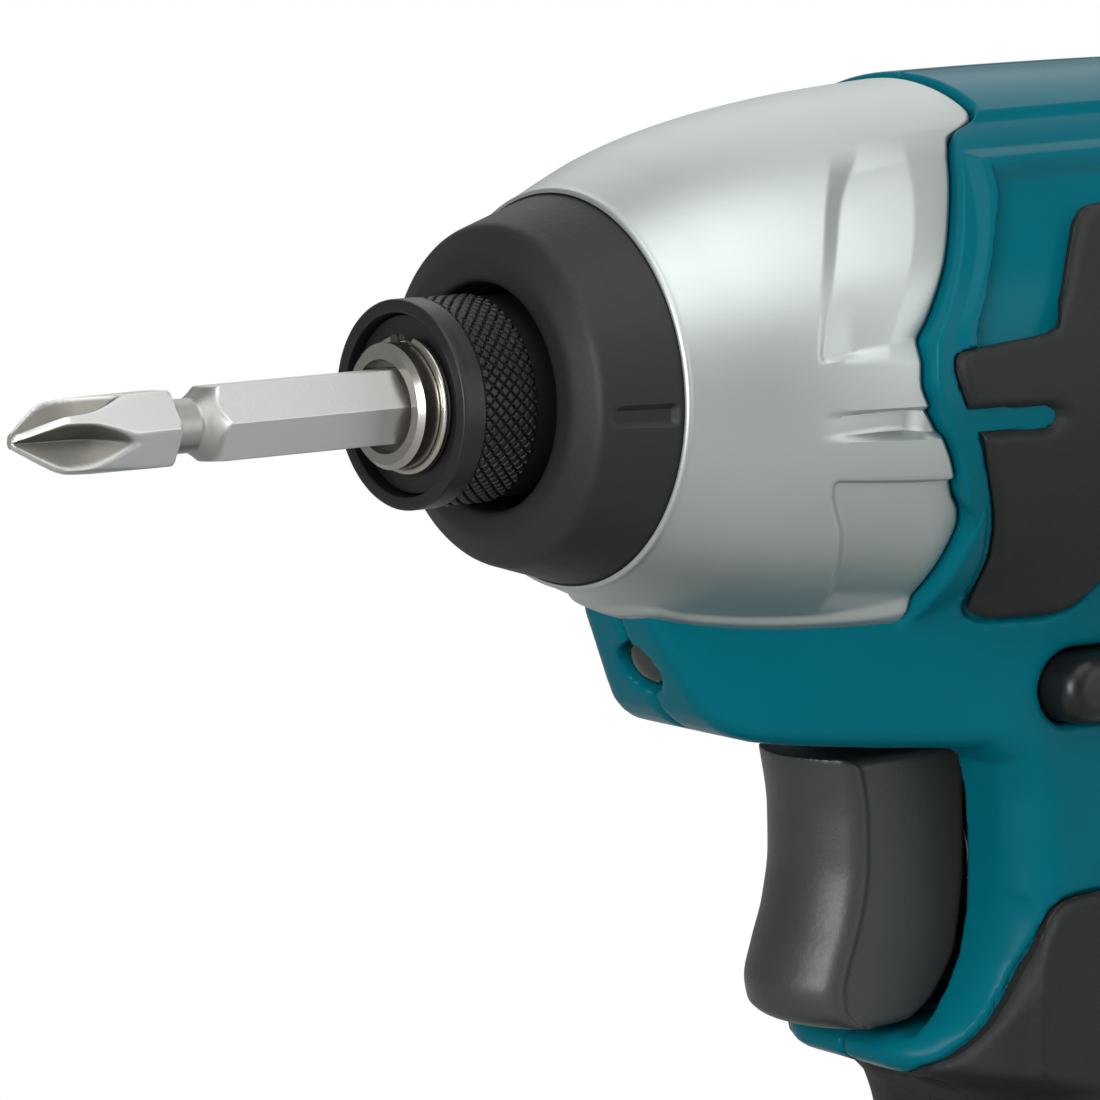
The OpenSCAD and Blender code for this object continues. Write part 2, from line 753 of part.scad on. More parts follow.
module bit_sleeve() {
    knurl_r = sleeve_r - knurl_depth;
    edge = knurl_depth;
    recess_r = collar_r;
    web_end = sleeve_web_front + sleeve_web;
    color(black)
        turned([[chamber_r, 0], [sleeve_r - edge, 0], [sleeve_r, edge], [sleeve_r, sleeve_lip_len - edge],
            [knurl_r, sleeve_lip_len], [knurl_r, sleeve_len], [recess_r, sleeve_len], [recess_r, web_end],
            [sleeve_bore_r, web_end], [sleeve_bore_r, collar_front], [collar_r, collar_front],
            [collar_r, sleeve_web_front], [chamber_r, sleeve_web_front]]);
}

module sleeve_spring() {
    color(steel)
        on_axis(sleeve_spring_front)
            helix_spring(sleeve_coil_r, sleeve_wire_r, sleeve_web_front - sleeve_spring_front, 4);
}

module nose_bumper() {
    color(charcoal)
        turned([[bumper_mouth_r, bumper_front], [bumper_flat_r, bumper_front],
            [bumper_shoulder_r, bumper_front + bumper_bevel], [bumper_rear_r, case_front],
            [nose_tube_r + seat_gap, case_front], [nose_tube_r + seat_gap, nose_tube_front],
            [bumper_mouth_r, nose_tube_front]]);
}

low_edge_share = 0.52;
// Side outline of the case in sight, grown by a gap for the housing's cut
function case_edge(grow) = [for (p = case_edge_shares)
    [case_edge_front + p[0] * case_edge_depth + grow, p[1] * case_r - (p[1] < -low_edge_share ? grow : 0)]];
module case_sight(grow) {
    front = nose_reach;
    reach = case_r + 2 * over;
    edge = case_edge(grow);
    low_front = edge[len(edge) - 1][1];
    side_slab(concat([[-front, 2 * reach]], edge, [[-front, low_front]]), -2 * reach, 2 * reach);
}

module skirt_form(grow) {
    points = [for (p = case_points) [min(p[0] - case_step, skirt_r) + grow, p[1]]];
    turned(concat([[0, case_front]], points, [[skirt_r + grow, case_end], [0, case_end]]));
}

module hammer_case() {
    color(silver)
        difference() {
            union() {
                intersection() {
                    turned(concat([[0, case_front]], case_points, [[0, case_top_end]]));
                    case_sight(0);
                }
                skirt_form(0);
                axis_disc(nose_tube_r, nose_tube_front, nose_tube_len + over);
            }
            axis_disc(bush_r, nose_tube_front - over, flange_front - nose_tube_front + over);
            turned([[0, flange_front - thrust_room], [ear_room_r, flange_front - thrust_room],
                [ear_room_r, hammer_front - body_gap], [hammer_room_r, hammer_front - body_gap],
                [hammer_room_r, case_end + over], [0, case_end + over]]);
        }
}

thrust_room = 1.3;
bush_end = flange_front - thrust_room - seat_gap;
module anvil_bush() {
    color(brass)
        axis_ring(bush_r - seat_gap, anvil_r + running_gap, nose_tube_front, bush_end - nose_tube_front);
}

module thrust_washer() {
    color(brass)
        axis_ring(lug_in_r - body_gap, anvil_r + running_gap, flange_front - thrust_room + seat_gap,
            thrust_room - body_gap);
}

pocket_share = 0.42;
spring_pocket_front = hammer_front + hammer_len * pocket_share;
pocket_r = hammer_coil_r + hammer_wire_r + 3 * body_gap;
pocket_in_r = hammer_coil_r - hammer_wire_r - body_gap;
cam_setback = hammer_front + cam_ball_r + 2 * body_gap;
cam_orbit_r = spindle_r;
module hammer() {
    color(dark_steel)
        difference() {
            union() {
                axis_disc(hammer_r, hammer_front, hammer_len);
                intersection() {
                    axis_ring(lug_r, lug_in_r, ear_front + body_gap, hammer_front - ear_front);
                    union() {
                        for (turn = [0, 180]) {
                            on_axis(ear_front)
                                rotate(turn)
                                    translate([0, ear_w / 2 + body_gap, 0])
                                        cube([lug_r, lug_w, 2 * ear_len]);
                        }
                    }
                }
            }
            axis_disc(spindle_r + running_gap, ear_front, 2 * hammer_len);
            axis_ring(pocket_r, pocket_in_r, spring_pocket_front, hammer_len);
            for (side = [-1, 1]) {
                translate(spot(cam_setback + cam_ball_r + body_gap, side * cam_orbit_r, 0))
                    rotate([0, 90, 0])
                        cylinder(r = cam_ball_r + body_gap, h = hammer_len);
            }
        }
}

hammer_spring_front = spring_pocket_front + spring_washer_t + 2 * seat_gap;
module spring_washer() {
    color(steel)
        axis_ring(pocket_r - body_gap, pocket_in_r + body_gap, spring_pocket_front + seat_gap, spring_washer_t);
}

module hammer_spring() {
    color(steel)
        on_axis(hammer_spring_front)
            helix_spring(hammer_coil_r, hammer_wire_r, carrier_front - hammer_spring_front - seat_gap, 4);
}

module cam_balls() {
    color(steel)
        for (side = [-1, 1]) {
            translate(spot(cam_setback, side * cam_orbit_r, 0))
                sphere(r = cam_ball_r);
        }
}

// Places children on a planet's own axis
module on_orbit(angle, setback) {
    on_axis(setback)
        rotate(angle)
            translate([orbit_r, 0, 0])
                children();
}

module spindle() {
    color(steel)
        difference() {
            turned([[0, ear_end - pilot_len], [pilot_r, ear_end - pilot_len], [pilot_r, hammer_front],
                [spindle_r, hammer_front], [spindle_r, carrier_front], [carrier_r, carrier_front],
                [carrier_r, carrier_end], [journal_r, carrier_end], [journal_r, journal_end], [0, journal_end]]);
            axis_disc(pinion_bore_r, gear_front - body_gap, journal_end);
            for (a = planet_angles) {
                on_orbit(a, gear_front - body_gap)
                    cylinder(r = window_r, h = gear_w + 2 * body_gap);
                on_orbit(a, carrier_front - over)
                    cylinder(r = planet_pin_r + seat_gap, h = carrier_end - carrier_front + 2 * over);
            }
            for (side = [-1, 1]) {
                translate(spot(cam_setback, side * cam_orbit_r, 0))
                    sphere(r = cam_ball_r + seat_gap);
            }
        }
}

module planet_gear(index) {
    tooth_w = PI * gear_module / 2 - 2 * flank_thin;
    color(dark_steel)
        on_orbit(planet_angles[index], gear_front)
            linear_extrude(gear_w)
                difference() {
                    rotate(180 / planet_teeth)
                        gear_outline(planet_teeth, tooth_w, planet_pitch_r + addendum, planet_pitch_r - dedendum);
                    circle(r = planet_pin_r + running_gap);
                }
}

module planet_gear_1() {
    planet_gear(0);
}

module planet_gear_2() {
    planet_gear(1);
}

module planet_gear_3() {
    planet_gear(2);
}

module planet_pins() {
    color(steel)
        for (a = planet_angles) {
            on_orbit(a, carrier_front)
                cylinder(r = planet_pin_r, h = carrier_end - carrier_front);
        }
}

module ring_gear() {
    space_w = PI * gear_module / 2 + 2 * flank_thin;
    color(dark_steel)
        on_axis(gear_case_front + body_gap)
            linear_extrude(gear_end - gear_case_front)
                difference() {
                    circle(r = ring_r);
                    rotate(180 / ring_teeth)
                        gear_outline(ring_teeth, space_w, ring_pitch_r + dedendum, ring_pitch_r - addendum);
                }
}

module gear_case() {
    floor_in_r = carrier_r + 2 * body_gap;
    pocket_end = journal_end + body_gap;
    color("#6b6f73")
        turned([[ring_r + seat_gap, gear_case_front], [skirt_r, gear_case_front], [skirt_r, pocket_end],
            [front_bearing_r + anvil_web, pocket_end], [front_bearing_r + anvil_web, motor_bearing_end],
            [front_bearing_r + seat_gap, motor_bearing_end], [front_bearing_r + seat_gap, motor_bearing_front],
            [journal_r, motor_bearing_front], [journal_r, pocket_end],
            [spindle_bearing_r + seat_gap, pocket_end], [spindle_bearing_r + seat_gap, bearing_front],
            [floor_in_r, bearing_front], [floor_in_r, gear_case_floor], [ring_r + seat_gap, gear_case_floor]]);
}

module spindle_bearing() {
    color(steel)
        axis_ring(spindle_bearing_r, journal_r + seat_gap, bearing_front + seat_gap, bearing_w);
}

module motor_shaft() {
    tooth_w = PI * gear_module / 2 - 2 * flank_thin;
    color(steel)
        union() {
            on_axis(gear_front)
                linear_extrude(gear_w)
                    gear_outline(sun_teeth, tooth_w, sun_pitch_r + addendum, sun_pitch_r - dedendum);
            axis_disc(shaft_r, gear_front + gear_w / 2, shaft_end - gear_front - gear_w / 2);
        }
}

slot_count = 12;
slot_w = 1.6;
slot_depth = 2.4;
module rotor_core() {
    color(dark_steel)
        difference() {
            axis_ring(core_r, shaft_r + seat_gap, core_front, core_len);
            for (a = [0:360 / slot_count:359]) {
                on_axis(core_front - over)
                    rotate(a)
                        translate([core_r - slot_depth, -slot_w / 2, 0])
                            cube([slot_depth + over, slot_w, core_len + 2 * over]);
            }
        }
}

module rotor_windings() {
    rim_r = core_r - slot_depth;
    hub_r = shaft_r + 2 * body_gap;
    round_len = winding_len / 3;
    color(copper) {
        turned([[hub_r, core_front], [rim_r, core_front], [rim_r, winding_front + round_len],
            [rim_r - round_len, winding_front], [hub_r, winding_front]]);
        turned([[hub_r, core_end], [rim_r, core_end], [rim_r, winding_end - round_len],
            [rim_r - round_len, winding_end], [hub_r, winding_end]]);
    }
}

module commutator() {
    color(copper)
        axis_ring(commutator_r, shaft_r + seat_gap, commutator_front, commutator_len);
}

module motor_fan() {
    hub_r = 2 * shaft_r;
    blade_w = 1.4;
    disc_t = 1.6;
    color(black)
        difference() {
            union() {
                axis_disc(hub_r, fan_front, fan_len);
                axis_disc(fan_r, fan_front + fan_len - disc_t, disc_t);
                for (a = [0:360 / fan_blades:359]) {
                    on_axis(fan_front)
                        rotate(a)
                            translate([2 * hub_r, -blade_w / 2, 0])
                                cube([fan_r - 2 * hub_r - blade_w, blade_w, fan_len]);
                }
            }
            axis_disc(shaft_r + seat_gap, fan_front - over, fan_len + 2 * over);
        }
}

module front_bearing() {
    color(steel)
        axis_ring(front_bearing_r, shaft_r + seat_gap, motor_bearing_front + seat_gap, bearing_w - seat_gap);
}

module rear_bearing() {
    color(steel)
        axis_ring(rear_bearing_r, shaft_r + seat_gap, rear_bearing_front, bearing_w);
}

module stator_can() {
    color(dark_steel)
        axis_ring(can_r, can_r - can_wall, winding_front, winding_end - winding_front);
}

module stator_magnets() {
    air_gap = 0.5;
    pole_angle = 70;
    poles = 4;
    in_r = core_r + air_gap;
    out_r = can_r - can_wall - seat_gap;
    color(charcoal)
        for (turn = [0:360 / poles:359]) {
            on_axis(core_front)
                rotate(turn)
                    rotate_extrude(angle = pole_angle)
                        translate([in_r, 0])
                            square([out_r - in_r, core_len]);
        }
}

brush_w = 5;
brush_t = 4;
brush_len = 6;
holder_front = commutator_front + body_gap;
holder_len = 5.2;
cover_screw_y = 15.5;
// Bars where the rear cover's two screws go
module cover_screw_bars(setback, r, len) {
    for (side = [-1, 1]) {
        on_axis(setback)
            translate([0, side * cover_screw_y, 0])
                cylinder(r = r, h = len);
    }
}

module brush_holder() {
    brush_front = holder_front + (holder_len - brush_t) / 2;
    color(black)
        difference() {
            axis_ring(can_r, commutator_r + 2 * body_gap, holder_front, holder_len);
            on_axis(brush_front - seat_gap)
                translate([-commutator_r - brush_len - 2 * body_gap, -brush_w / 2 - seat_gap, 0])
                    cube([2 * (commutator_r + brush_len + 2 * body_gap), brush_w + 2 * seat_gap,
                        brush_t + 2 * seat_gap]);
            cover_screw_bars(holder_front - over, screw_r + seat_gap, holder_len + 2 * over);
        }
}

module carbon_brushes() {
    brush_front = holder_front + (holder_len - brush_t) / 2;
    color("#2b2b2d")
        for (turn = [0, 180]) {
            on_axis(brush_front)
                rotate(turn)
                    difference() {
                        translate([commutator_r / 2, -brush_w / 2, 0])
                            cube([commutator_r / 2 + brush_len, brush_w, brush_t]);
                        translate([0, 0, -over])
                            cylinder(r = commutator_r + running_gap, h = brush_t + 2 * over);
                    }
        }
}

cover_wall = 2.4;
cover_room_end = cover_end - 2 * cover_wall;
cover_screw_seat = cover_room_end + cover_wall / 2;
vent_angles = [30:20:150];
module rear_cover() {
    points = [for (p = cover_profile_shares) [p[1] * barrel_r, barrel_end + p[0] * cover_len]];
    boss_out_r = rear_bearing_r + cover_wall;
    vent_w = 2.2;
    vent_len = 5;
    color(teal)
        difference() {
            turned(concat([[can_r + seat_gap, barrel_end]], points, [[0, cover_end], [0, rear_bearing_front],
                [boss_out_r, rear_bearing_front], [boss_out_r, cover_room_end],
                [can_r - cover_wall, cover_room_end], [can_r + seat_gap, cover_room_end - 2 * cover_wall]]));
            axis_disc(rear_bearing_r + seat_gap, rear_bearing_front - over, over + bearing_w + body_gap);
            for (a = vent_angles, side = [0, 180]) {
                on_axis(barrel_end + cover_wall)
                    rotate(a + side)
                        translate([rear_bearing_r + 3 * cover_wall, -vent_w / 2, 0])
                            cube([barrel_r, vent_w, vent_len]);
            }
            cover_screw_bars(barrel_end, screw_r + running_gap, 2 * cover_len);
            cover_screw_bars(cover_screw_seat, screw_head_r + seat_gap, cover_len);
        }
}

screw_head_t = 2.2;
module rear_cover_screws() {
    color(dark_steel) {
        cover_screw_bars(holder_front + body_gap, screw_r, cover_screw_seat - holder_front);
        cover_screw_bars(cover_screw_seat, screw_head_r, screw_head_t);
    }
}

// Handle: balls at the corners of each section, joined section by section
function section_balls(p) =
    let (height = -handle_top - p[0] * handle_len, middle = handle_setback + p[1] * handle_lean,
        dx = p[2] * handle_depth / 2 - handle_round, dy = p[3] * handle_w / 2 - handle_round)
    [for (i = [-1, 1], j = [-1, 1]) spot(middle + i * dx, j * dy, height)];
module handle_form(cut) {
    for (i = [0:len(handle_section_shares) - 2]) {
        ball_hull(concat(section_balls(handle_section_shares[i]), section_balls(handle_section_shares[i + 1])),
            handle_round - cut);
    }
}

module barrel_form(cut) {
    points = [for (p = barrel_profile_shares) barrel_point(p, cut)];
    turned(concat([[0, barrel_front]], points, [[0, barrel_end]]));
}

// Chin under the case: shares of its length, half width and depth
chin_ball_shares = [[0, 0.5, 0.66], [0.08, 0.7, 0.84], [0.17, 0.9, 0.9], [0.42, 1, 0.95], [1, 1.2, 1],
    [0, 0.8, 0.48], [1, 1.6, 0.48]];
module chin_form(cut) {
    low = chin_depth - chin_round;
    wide = chin_half_w - chin_round;
    front = chin_front + chin_round;
    ball_hull([for (p = chin_ball_shares, j = [-1, 1])
        spot(front + p[0] * (chin_end - front), j * p[1] * wide, -p[2] * low)], chin_round - cut);
}

// Web behind the handle: shares of the handle's corner radius, width and top depth
web_ball_shares = [[-0.5, 0.2, 1], [1, 0.25, 0.5], [-1, 0.2, 2], [-1, 0.25, 0.5]];
module web_form(cut) {
    rear = handle_setback + handle_depth / 2;
    ball_hull([for (p = web_ball_shares, j = [-1, 1])
        spot(rear + p[0] * handle_round, j * p[1] * handle_w, -p[2] * handle_top)], handle_round / 2 - cut);
}

// Lip under the trigger: shares of the way to the handle, of its width and of the lip's radius
lip_r = 2.6;
lip_ball_shares = [[0, 0.18, 0], [1, 0.32, 0], [1, 0.25, 3]];
module lip_form() {
    depth = trigger_top + trigger_h + lip_r;
    front = trigger_front + lip_len - lip_r;
    back = handle_setback - handle_depth / 4;
    ball_hull([for (p = lip_ball_shares, j = [-1, 1])
        spot(front + p[0] * (back - front), j * p[1] * handle_w, -depth - p[2] * lip_r)], lip_r);
}

// Foot that holds the battery's rails
module foot_form() {
    low = foot_bottom + foot_round;
    high = foot_top - foot_round;
    wide = foot_w / 2 - foot_round;
    front = foot_x - foot_round;
    rear = foot_rear_x + foot_round;
    neck_w_share = 0.8;
    neck = handle_section_shares[len(handle_section_shares) - 1];
    ball_hull([for (x = [front, rear], j = [-1, 1], z = [foot_bottom, high]) [x, j * wide, z]], foot_round);
    ball_hull(concat(section_balls(neck), [for (x = [front - foot_round, rear + foot_round], j = [-1, 1])
        [x, j * wide * neck_w_share, low]]), foot_round);
}

module housing_shape() {
    barrel_form(0);
    chin_form(0);
    handle_form(0);
    web_form(0);
    lip_form();
    foot_form();
}

// Outlines of the soft grips in side view, drawn in by a gap
function side_grip_points(gap) = [for (p = side_grip_shares)
    [side_grip_front + gap + p[0] * (side_grip_len - 2 * gap), p[1] * (side_grip_half_h - gap)]];
function handle_grip_points(gap) = [for (p = handle_grip_shares)
    let (middle = handle_setback + p[1] * handle_lean)
    [middle + p[0] * (handle_depth - gap), -handle_top - p[1] * handle_len + (p[1] < 0.5 ? -gap : gap)]];

module side_grip_skin(cut, gap, side) {
    points = side_grip_points(gap);
    reach = 2 * barrel_r;
    proud = grip_t / 3;
    intersection() {
        difference() {
            barrel_form(-proud - gap);
            barrel_form(cut);
        }
        side_slab(points, side > 0 ? over : -reach, side > 0 ? reach : -over);
    }
}

module handle_grip_skin(cut, gap, proud, side) {
    reach = handle_w;
    intersection() {
        difference() {
            handle_form(-proud);
            handle_form(cut);
        }
        side_slab(handle_grip_points(gap), side > 0 ? 0 : -reach, side > 0 ? reach : 0);
        block([foot_rear_x, -reach, foot_top + over + gap], [nose_reach, reach, axis_height]);
    }
}

// Screw boss across one half of the housing
module screw_boss(place) {
    intersection() {
        cross_bar(place[0], place[1], boss_r, -handle_w, handle_w);
        union() {
            chin_form(grip_t);
            handle_form(2 * grip_t);
            web_form(grip_t);
        }
    }
}

// What is taken out of the closed housing
module housing_cuts() {
    reach = handle_w;
    hole = body_gap;
    case_sight(seam_gap);
    skirt_form(body_gap);
    axis_disc(barrel_in_r, barrel_front - over, barrel_end - barrel_front + 2 * over);
    axis_disc(nose_tube_r + 2 * chin_round, 0, case_front + seam_gap);
    block(spot(handle_setback, -trigger_w / 2 - hole, -trigger_top - trigger_h - hole),
        spot(trigger_front - trigger_depth, trigger_w / 2 + hole, -trigger_top + 2 * hole));
    translate(spot(lever_setback, reach, -lever_depth))
        rotate([90, 0, 0])
            linear_extrude(2 * reach)
                round_rect(lever_w + 2 * hole, lever_h + 2 * hole, lever_h / 2);
    lens_place(-lens_len)
        cylinder(r = lens_r + seat_gap, h = 2 * lens_len);
    for (side = [-1, 1]) {
        hook_place(side)
            translate([0, 0, -insert_len - body_gap])
                cylinder(r = insert_r + 2 * seat_gap, h = foot_w);
        side_grip_skin(grip_t + grip_gap, 0, side);
        handle_grip_skin(grip_t + grip_gap, 0, over, side);
    }
    foot_channel();
}

// Room for the battery's rails, latch and the tool's terminals
module foot_channel() {
    front = battery_len;
    low = foot_bottom - 2 * foot_round;
    wide = rail_half_w + rail_reach + body_gap;
    ledge = rail_top - rail_t - body_gap;
    block([rail_rear_x - body_gap, -rail_half_w - body_gap, low], [front, rail_half_w + body_gap, channel_top]);
    block([rail_rear_x - body_gap, -wide, ledge], [front, wide, channel_top]);
    block([foot_rear_x - over, -foot_w, low - foot_round], [front, foot_w, foot_bottom]);
    block([terminal_x - body_gap, -terminal_half_w - body_gap, low],
        [terminal_x + terminal_len + body_gap, terminal_half_w + body_gap, terminal_z + terminal_h + body_gap]);
    block([hook_x - body_gap, -tongue_half_w - body_gap, low],
        [front, tongue_half_w + body_gap, channel_top + hook_rise + body_gap]);
}

module handle_room() {
    difference() {
        union() {
            chin_form(handle_wall);
            handle_form(handle_wall);
            web_form(handle_wall);
        }
        block([-battery_len, -foot_w, 0], [battery_len, foot_w, terminal_z + terminal_h]);
    }
}

// Half of the housing: the left half has blind holes, the right half has the screw heads
module housing_half(side) {
    $fn = shell_fn;
    reach = 2 * axis_height;
    rib_w = 2;
    color(teal)
        intersection() {
            difference() {
                union() {
                    difference() {
                        housing_shape();
                        handle_room();
                        housing_cuts();
                    }
                    difference() {
                        union() {
                            for (place = screw_places) {
                                screw_boss(place);
                            }
                        }
                        skirt_form(body_gap);
                        case_sight(seam_gap);
                        axis_disc(barrel_in_r, barrel_front - over, barrel_end);
                        foot_channel();
                    }
                    for (s = [winding_front + rib_w, winding_end - 2 * rib_w, holder_front]) {
                        axis_ring(barrel_in_r + rib_w / 2, can_r + 2 * grip_gap, s, rib_w);
                    }
                }
                for (place = screw_places) {
                    cross_bar(place[0], place[1], screw_r + 2 * running_gap, -screw_half_len - over,
                        screw_half_len + body_gap);
                    cross_bar(place[0], place[1], screw_head_r + 2 * running_gap, -reach, -screw_half_len);
                }
            }
            translate([-reach, side > 0 ? 0 : -reach, 0])
                cube([2 * reach, reach, reach]);
        }
}

module housing_left() {
    housing_half(1);
}

module housing_right() {
    housing_half(-1);
}

module side_grip(side) {
    color(charcoal)
        side_grip_skin(grip_t, grip_gap, side);
}

module side_grip_left() {
    side_grip(1);
}

module side_grip_right() {
    side_grip(-1);
}

module handle_grip(side) {
    color(charcoal)
        difference() {
            handle_grip_skin(grip_t, grip_gap, grip_gap, side);
            for (place = screw_places) {
                cross_bar(place[0], place[1], screw_head_r + 2 * running_gap, -handle_w, -screw_half_len);
            }
        }
}

module handle_grip_left() {
    handle_grip(1);
}

module handle_grip_right() {
    handle_grip(-1);
}

// Trigger with its plunger
plunger_share = 0.42;
pocket_len_share = 0.55;
trigger_mid = trigger_top + trigger_h * plunger_share;
trigger_pocket_len = trigger_depth * pocket_len_share;
plunger_len = 12;
module on_plunger(setback) {
    translate(spot(setback, 0, -trigger_mid))
        rotate([0, -90, 0])
            children();
}

module trigger() {
    rear = trigger_front + trigger_depth;
    points = [for (p = trigger_shares) [trigger_front + p[0] * trigger_depth, -trigger_top - p[1] * trigger_h]];
    color(charcoal)
        union() {
            difference() {
                side_slab(points, -trigger_w / 2, trigger_w / 2);
                on_plunger(rear - trigger_pocket_len)
                    cylinder(r = trigger_pocket_r, h = trigger_depth);
            }
            on_plunger(rear - trigger_pocket_len - over)
                cylinder(r = plunger_r, h = trigger_pocket_len + over + plunger_len);
        }
}

module trigger_spring() {
    front = trigger_front + trigger_depth - trigger_pocket_len + seat_gap;
    coil_r = (plunger_r + trigger_pocket_r) / 2;
    color(steel)
        on_plunger(front)
            helix_spring(coil_r, trigger_wire_r, switch_front - front - seat_gap, 5);
}

module switch_body() {
    low = -trigger_mid - switch_h / 2;
    color(black)
        difference() {
            block(spot(switch_front + switch_len, -switch_w / 2, low),
                spot(switch_front, switch_w / 2, low + switch_h));
            on_plunger(switch_front - over)
                cylinder(r = plunger_r + body_gap, h = switch_len - over);
        }
}

lever_neck_share = 0.7;
lever_tang_h = 2.4;
module reverse_lever() {
    neck_h = lever_h * lever_neck_share;
    color(black)
        union() {
            translate(spot(lever_setback, lever_reach, -lever_depth))
                rotate([90, 0, 0])
                    linear_extrude(2 * lever_reach)
                        round_rect(lever_w, lever_h, neck_h / 2);
            block(spot(lever_setback + lever_w, -neck_h / 2, -lever_depth - lever_h / 2),
                spot(lever_setback, neck_h / 2, -lever_depth - lever_h / 2 + lever_tang_h));
        }
}

// Light in the chin: children's Z points out of the lens
module lens_place(depth) {
    translate(spot(lens_setback, 0, -lens_depth))
        rotate([0, 90 + lens_tilt, 0])
            translate([0, 0, depth])
                children();
}

lens_face_share = 0.8;
module led_lens() {
    color("#6f7a70")
        lens_place(-lens_len + seat_gap)
            union() {
                cylinder(r = lens_r, h = lens_len - lens_r / 3);
                translate([0, 0, lens_len - lens_r / 3])
                    cylinder(r1 = lens_r, r2 = lens_r * lens_face_share, h = lens_r / 3);
            }
}

board_half_share = 1.1;
led_board_t = 1;
module led_board() {
    half = lens_r * board_half_share;
    color("#2f5d3a")
        lens_place(-lens_len - led_board_t)
            translate([-half, -half, 0])
                cube([2 * half, 2 * half, led_board_t]);
}

// Two leads inside the handle, from the switch to the terminals
lead_r = 1.2;
lead_y = 5;
module battery_leads() {
    top = axis_height - trigger_mid - switch_h / 2 - seat_gap;
    low = terminal_z + terminal_h + seat_gap;
    x = terminal_x + terminal_len - 2 * lead_r;
    color("#8a1f1f")
        for (side = [-1, 1]) {
            translate([x, side * lead_y, low])
                cylinder(r = lead_r, h = top - low);
        }
}

module terminal_block() {
    color(black)
        difference() {
            block([terminal_x, -terminal_half_w, terminal_z],
                [terminal_x + terminal_len, terminal_half_w, terminal_z + terminal_h]);
            for (side = [-1, 1]) {
                block([terminal_x + 2 * blade_t - seat_gap, side * blade_y - blade_t / 2 - seat_gap, terminal_z - over],
                    [terminal_x + 2 * blade_t + blade_len + seat_gap, side * blade_y + blade_t / 2 + seat_gap,
                        terminal_z + terminal_h / 2]);
            }
        }
}

module terminal_blades() {
    low = battery_h + 3 * body_gap;
    color(brass)
        for (side = [-1, 1]) {
            block([terminal_x + 2 * blade_t, side * blade_y - blade_t / 2, low],
                [terminal_x + 2 * blade_t + blade_len, side * blade_y + blade_t / 2,
                    terminal_z + terminal_h / 2 - seat_gap]);
        }
}

module housing_screws() {
    color(dark_steel)
        for (place = screw_places) {
            cross_bar(place[0], place[1], screw_r, -screw_half_len, screw_half_len);
            cross_bar(place[0], place[1], screw_head_r, -screw_half_len - screw_head_t, -screw_half_len);
        }
}

// Threaded insert for a belt hook: children's Z points out of the foot's side
module hook_place(side) {
    translate([insert_x, side * foot_w / 2, insert_z])
        rotate([side > 0 ? -90 : 90, 0, 0])
            children();
}

module hook_inserts() {
    color(brass)
        for (side = [-1, 1]) {
            hook_place(side)
                translate([0, 0, -insert_len])
                    difference() {
                        cylinder(r = insert_r, h = insert_len);
                        translate([0, 0, -over])
                            cylinder(r = hook_thread_r, h = insert_len + 2 * over);
                    }
        }
}

// Battery: shell between two heights
module battery_shell(low, high) {
    translate([0, 0, low])
        linear_extrude(high - low)
            round_rect(battery_len, battery_w, battery_round);
}

module battery_room(low, high) {
    in_round = battery_round - battery_wall;
    translate([0, 0, low])
        linear_extrude(high - low)
            round_rect(battery_len - 2 * battery_wall, battery_w - 2 * battery_wall, in_round);
}

screw_spot_x = battery_len / 2 - screw_inset;
screw_spot_y = battery_w / 2 - screw_inset;
module battery_posts(r, low, high) {
    for (i = [-1, 1], j = [-1, 1]) {
        translate([i * screw_spot_x, j * screw_spot_y, low])
            cylinder(r = r, h = high - low);
    }
}

post_r = 2.4;
module battery_lower_case() {
    color(black)
        difference() {
            union() {
                difference() {
                    battery_shell(0, battery_split);
                    battery_room(battery_wall, battery_split + over);
                }
                battery_posts(post_r, over, battery_split);
            }
            battery_posts(battery_screw_r + running_gap, -over, battery_split + over);
            battery_posts(2 * battery_screw_r - running_gap, -over, battery_head_t + body_gap);
        }
}

module battery_upper_case() {
    pocket_x = battery_len / 2 - button_depth - body_gap;
    wide = rail_half_w + rail_reach;
    rail_front = hump_x + over;
    slot_rear = rail_rear_x - over;
    slot_front = terminal_x + blade_len + 5 * blade_t;
    color(charcoal)
        difference() {
            union() {
                difference() {
                    battery_shell(battery_split, battery_h);
                    battery_room(battery_split - over, battery_h - battery_wall);
                }
                battery_posts(post_r, battery_split, battery_h - battery_wall / 2);
                block([rail_rear_x, -rail_half_w, battery_h - over], [rail_front, rail_half_w, rail_top]);
                block([rail_rear_x, -wide, rail_top - rail_t], [rail_front, wide, rail_top]);
                block([hump_x, -wide, battery_h - over], [battery_len / 2 - over, wide, battery_h + hump_h]);
                block([pocket_x - battery_wall, -button_half_w - body_gap - battery_wall, button_pocket_low - battery_wall],
                    [battery_len / 2 - over, button_half_w + body_gap + battery_wall, battery_h]);
            }
            battery_posts(battery_screw_r + running_gap, battery_split - over, battery_screw_len + 2 * body_gap);
            block([pocket_x, -button_half_w - body_gap, button_pocket_low],
                [battery_len, button_half_w + body_gap, battery_h + 2 * hump_h]);
            block([hook_x - body_gap, -tongue_half_w - body_gap, tongue_low - button_travel - body_gap],
                [pocket_x + over, tongue_half_w + body_gap, battery_h + 2 * hump_h]);
            for (side = [-1, 1]) {
                block([slot_rear, side * blade_y - slot_half_w, battery_h + body_gap],
                    [slot_front, side * blade_y + slot_half_w, battery_h + 2 * rail_h]);
            }
        }
}

module battery_cells() {
    color("#3a6ea5")
        for (i = [0:cell_columns - 1], z = [cell_low_z, cell_high_z]) {
            translate([(i - (cell_columns - 1) / 2) * cell_pitch, cell_len / 2, z])
                rotate([90, 0, 0])
                    cylinder(r = cell_r, h = cell_len);
        }
}

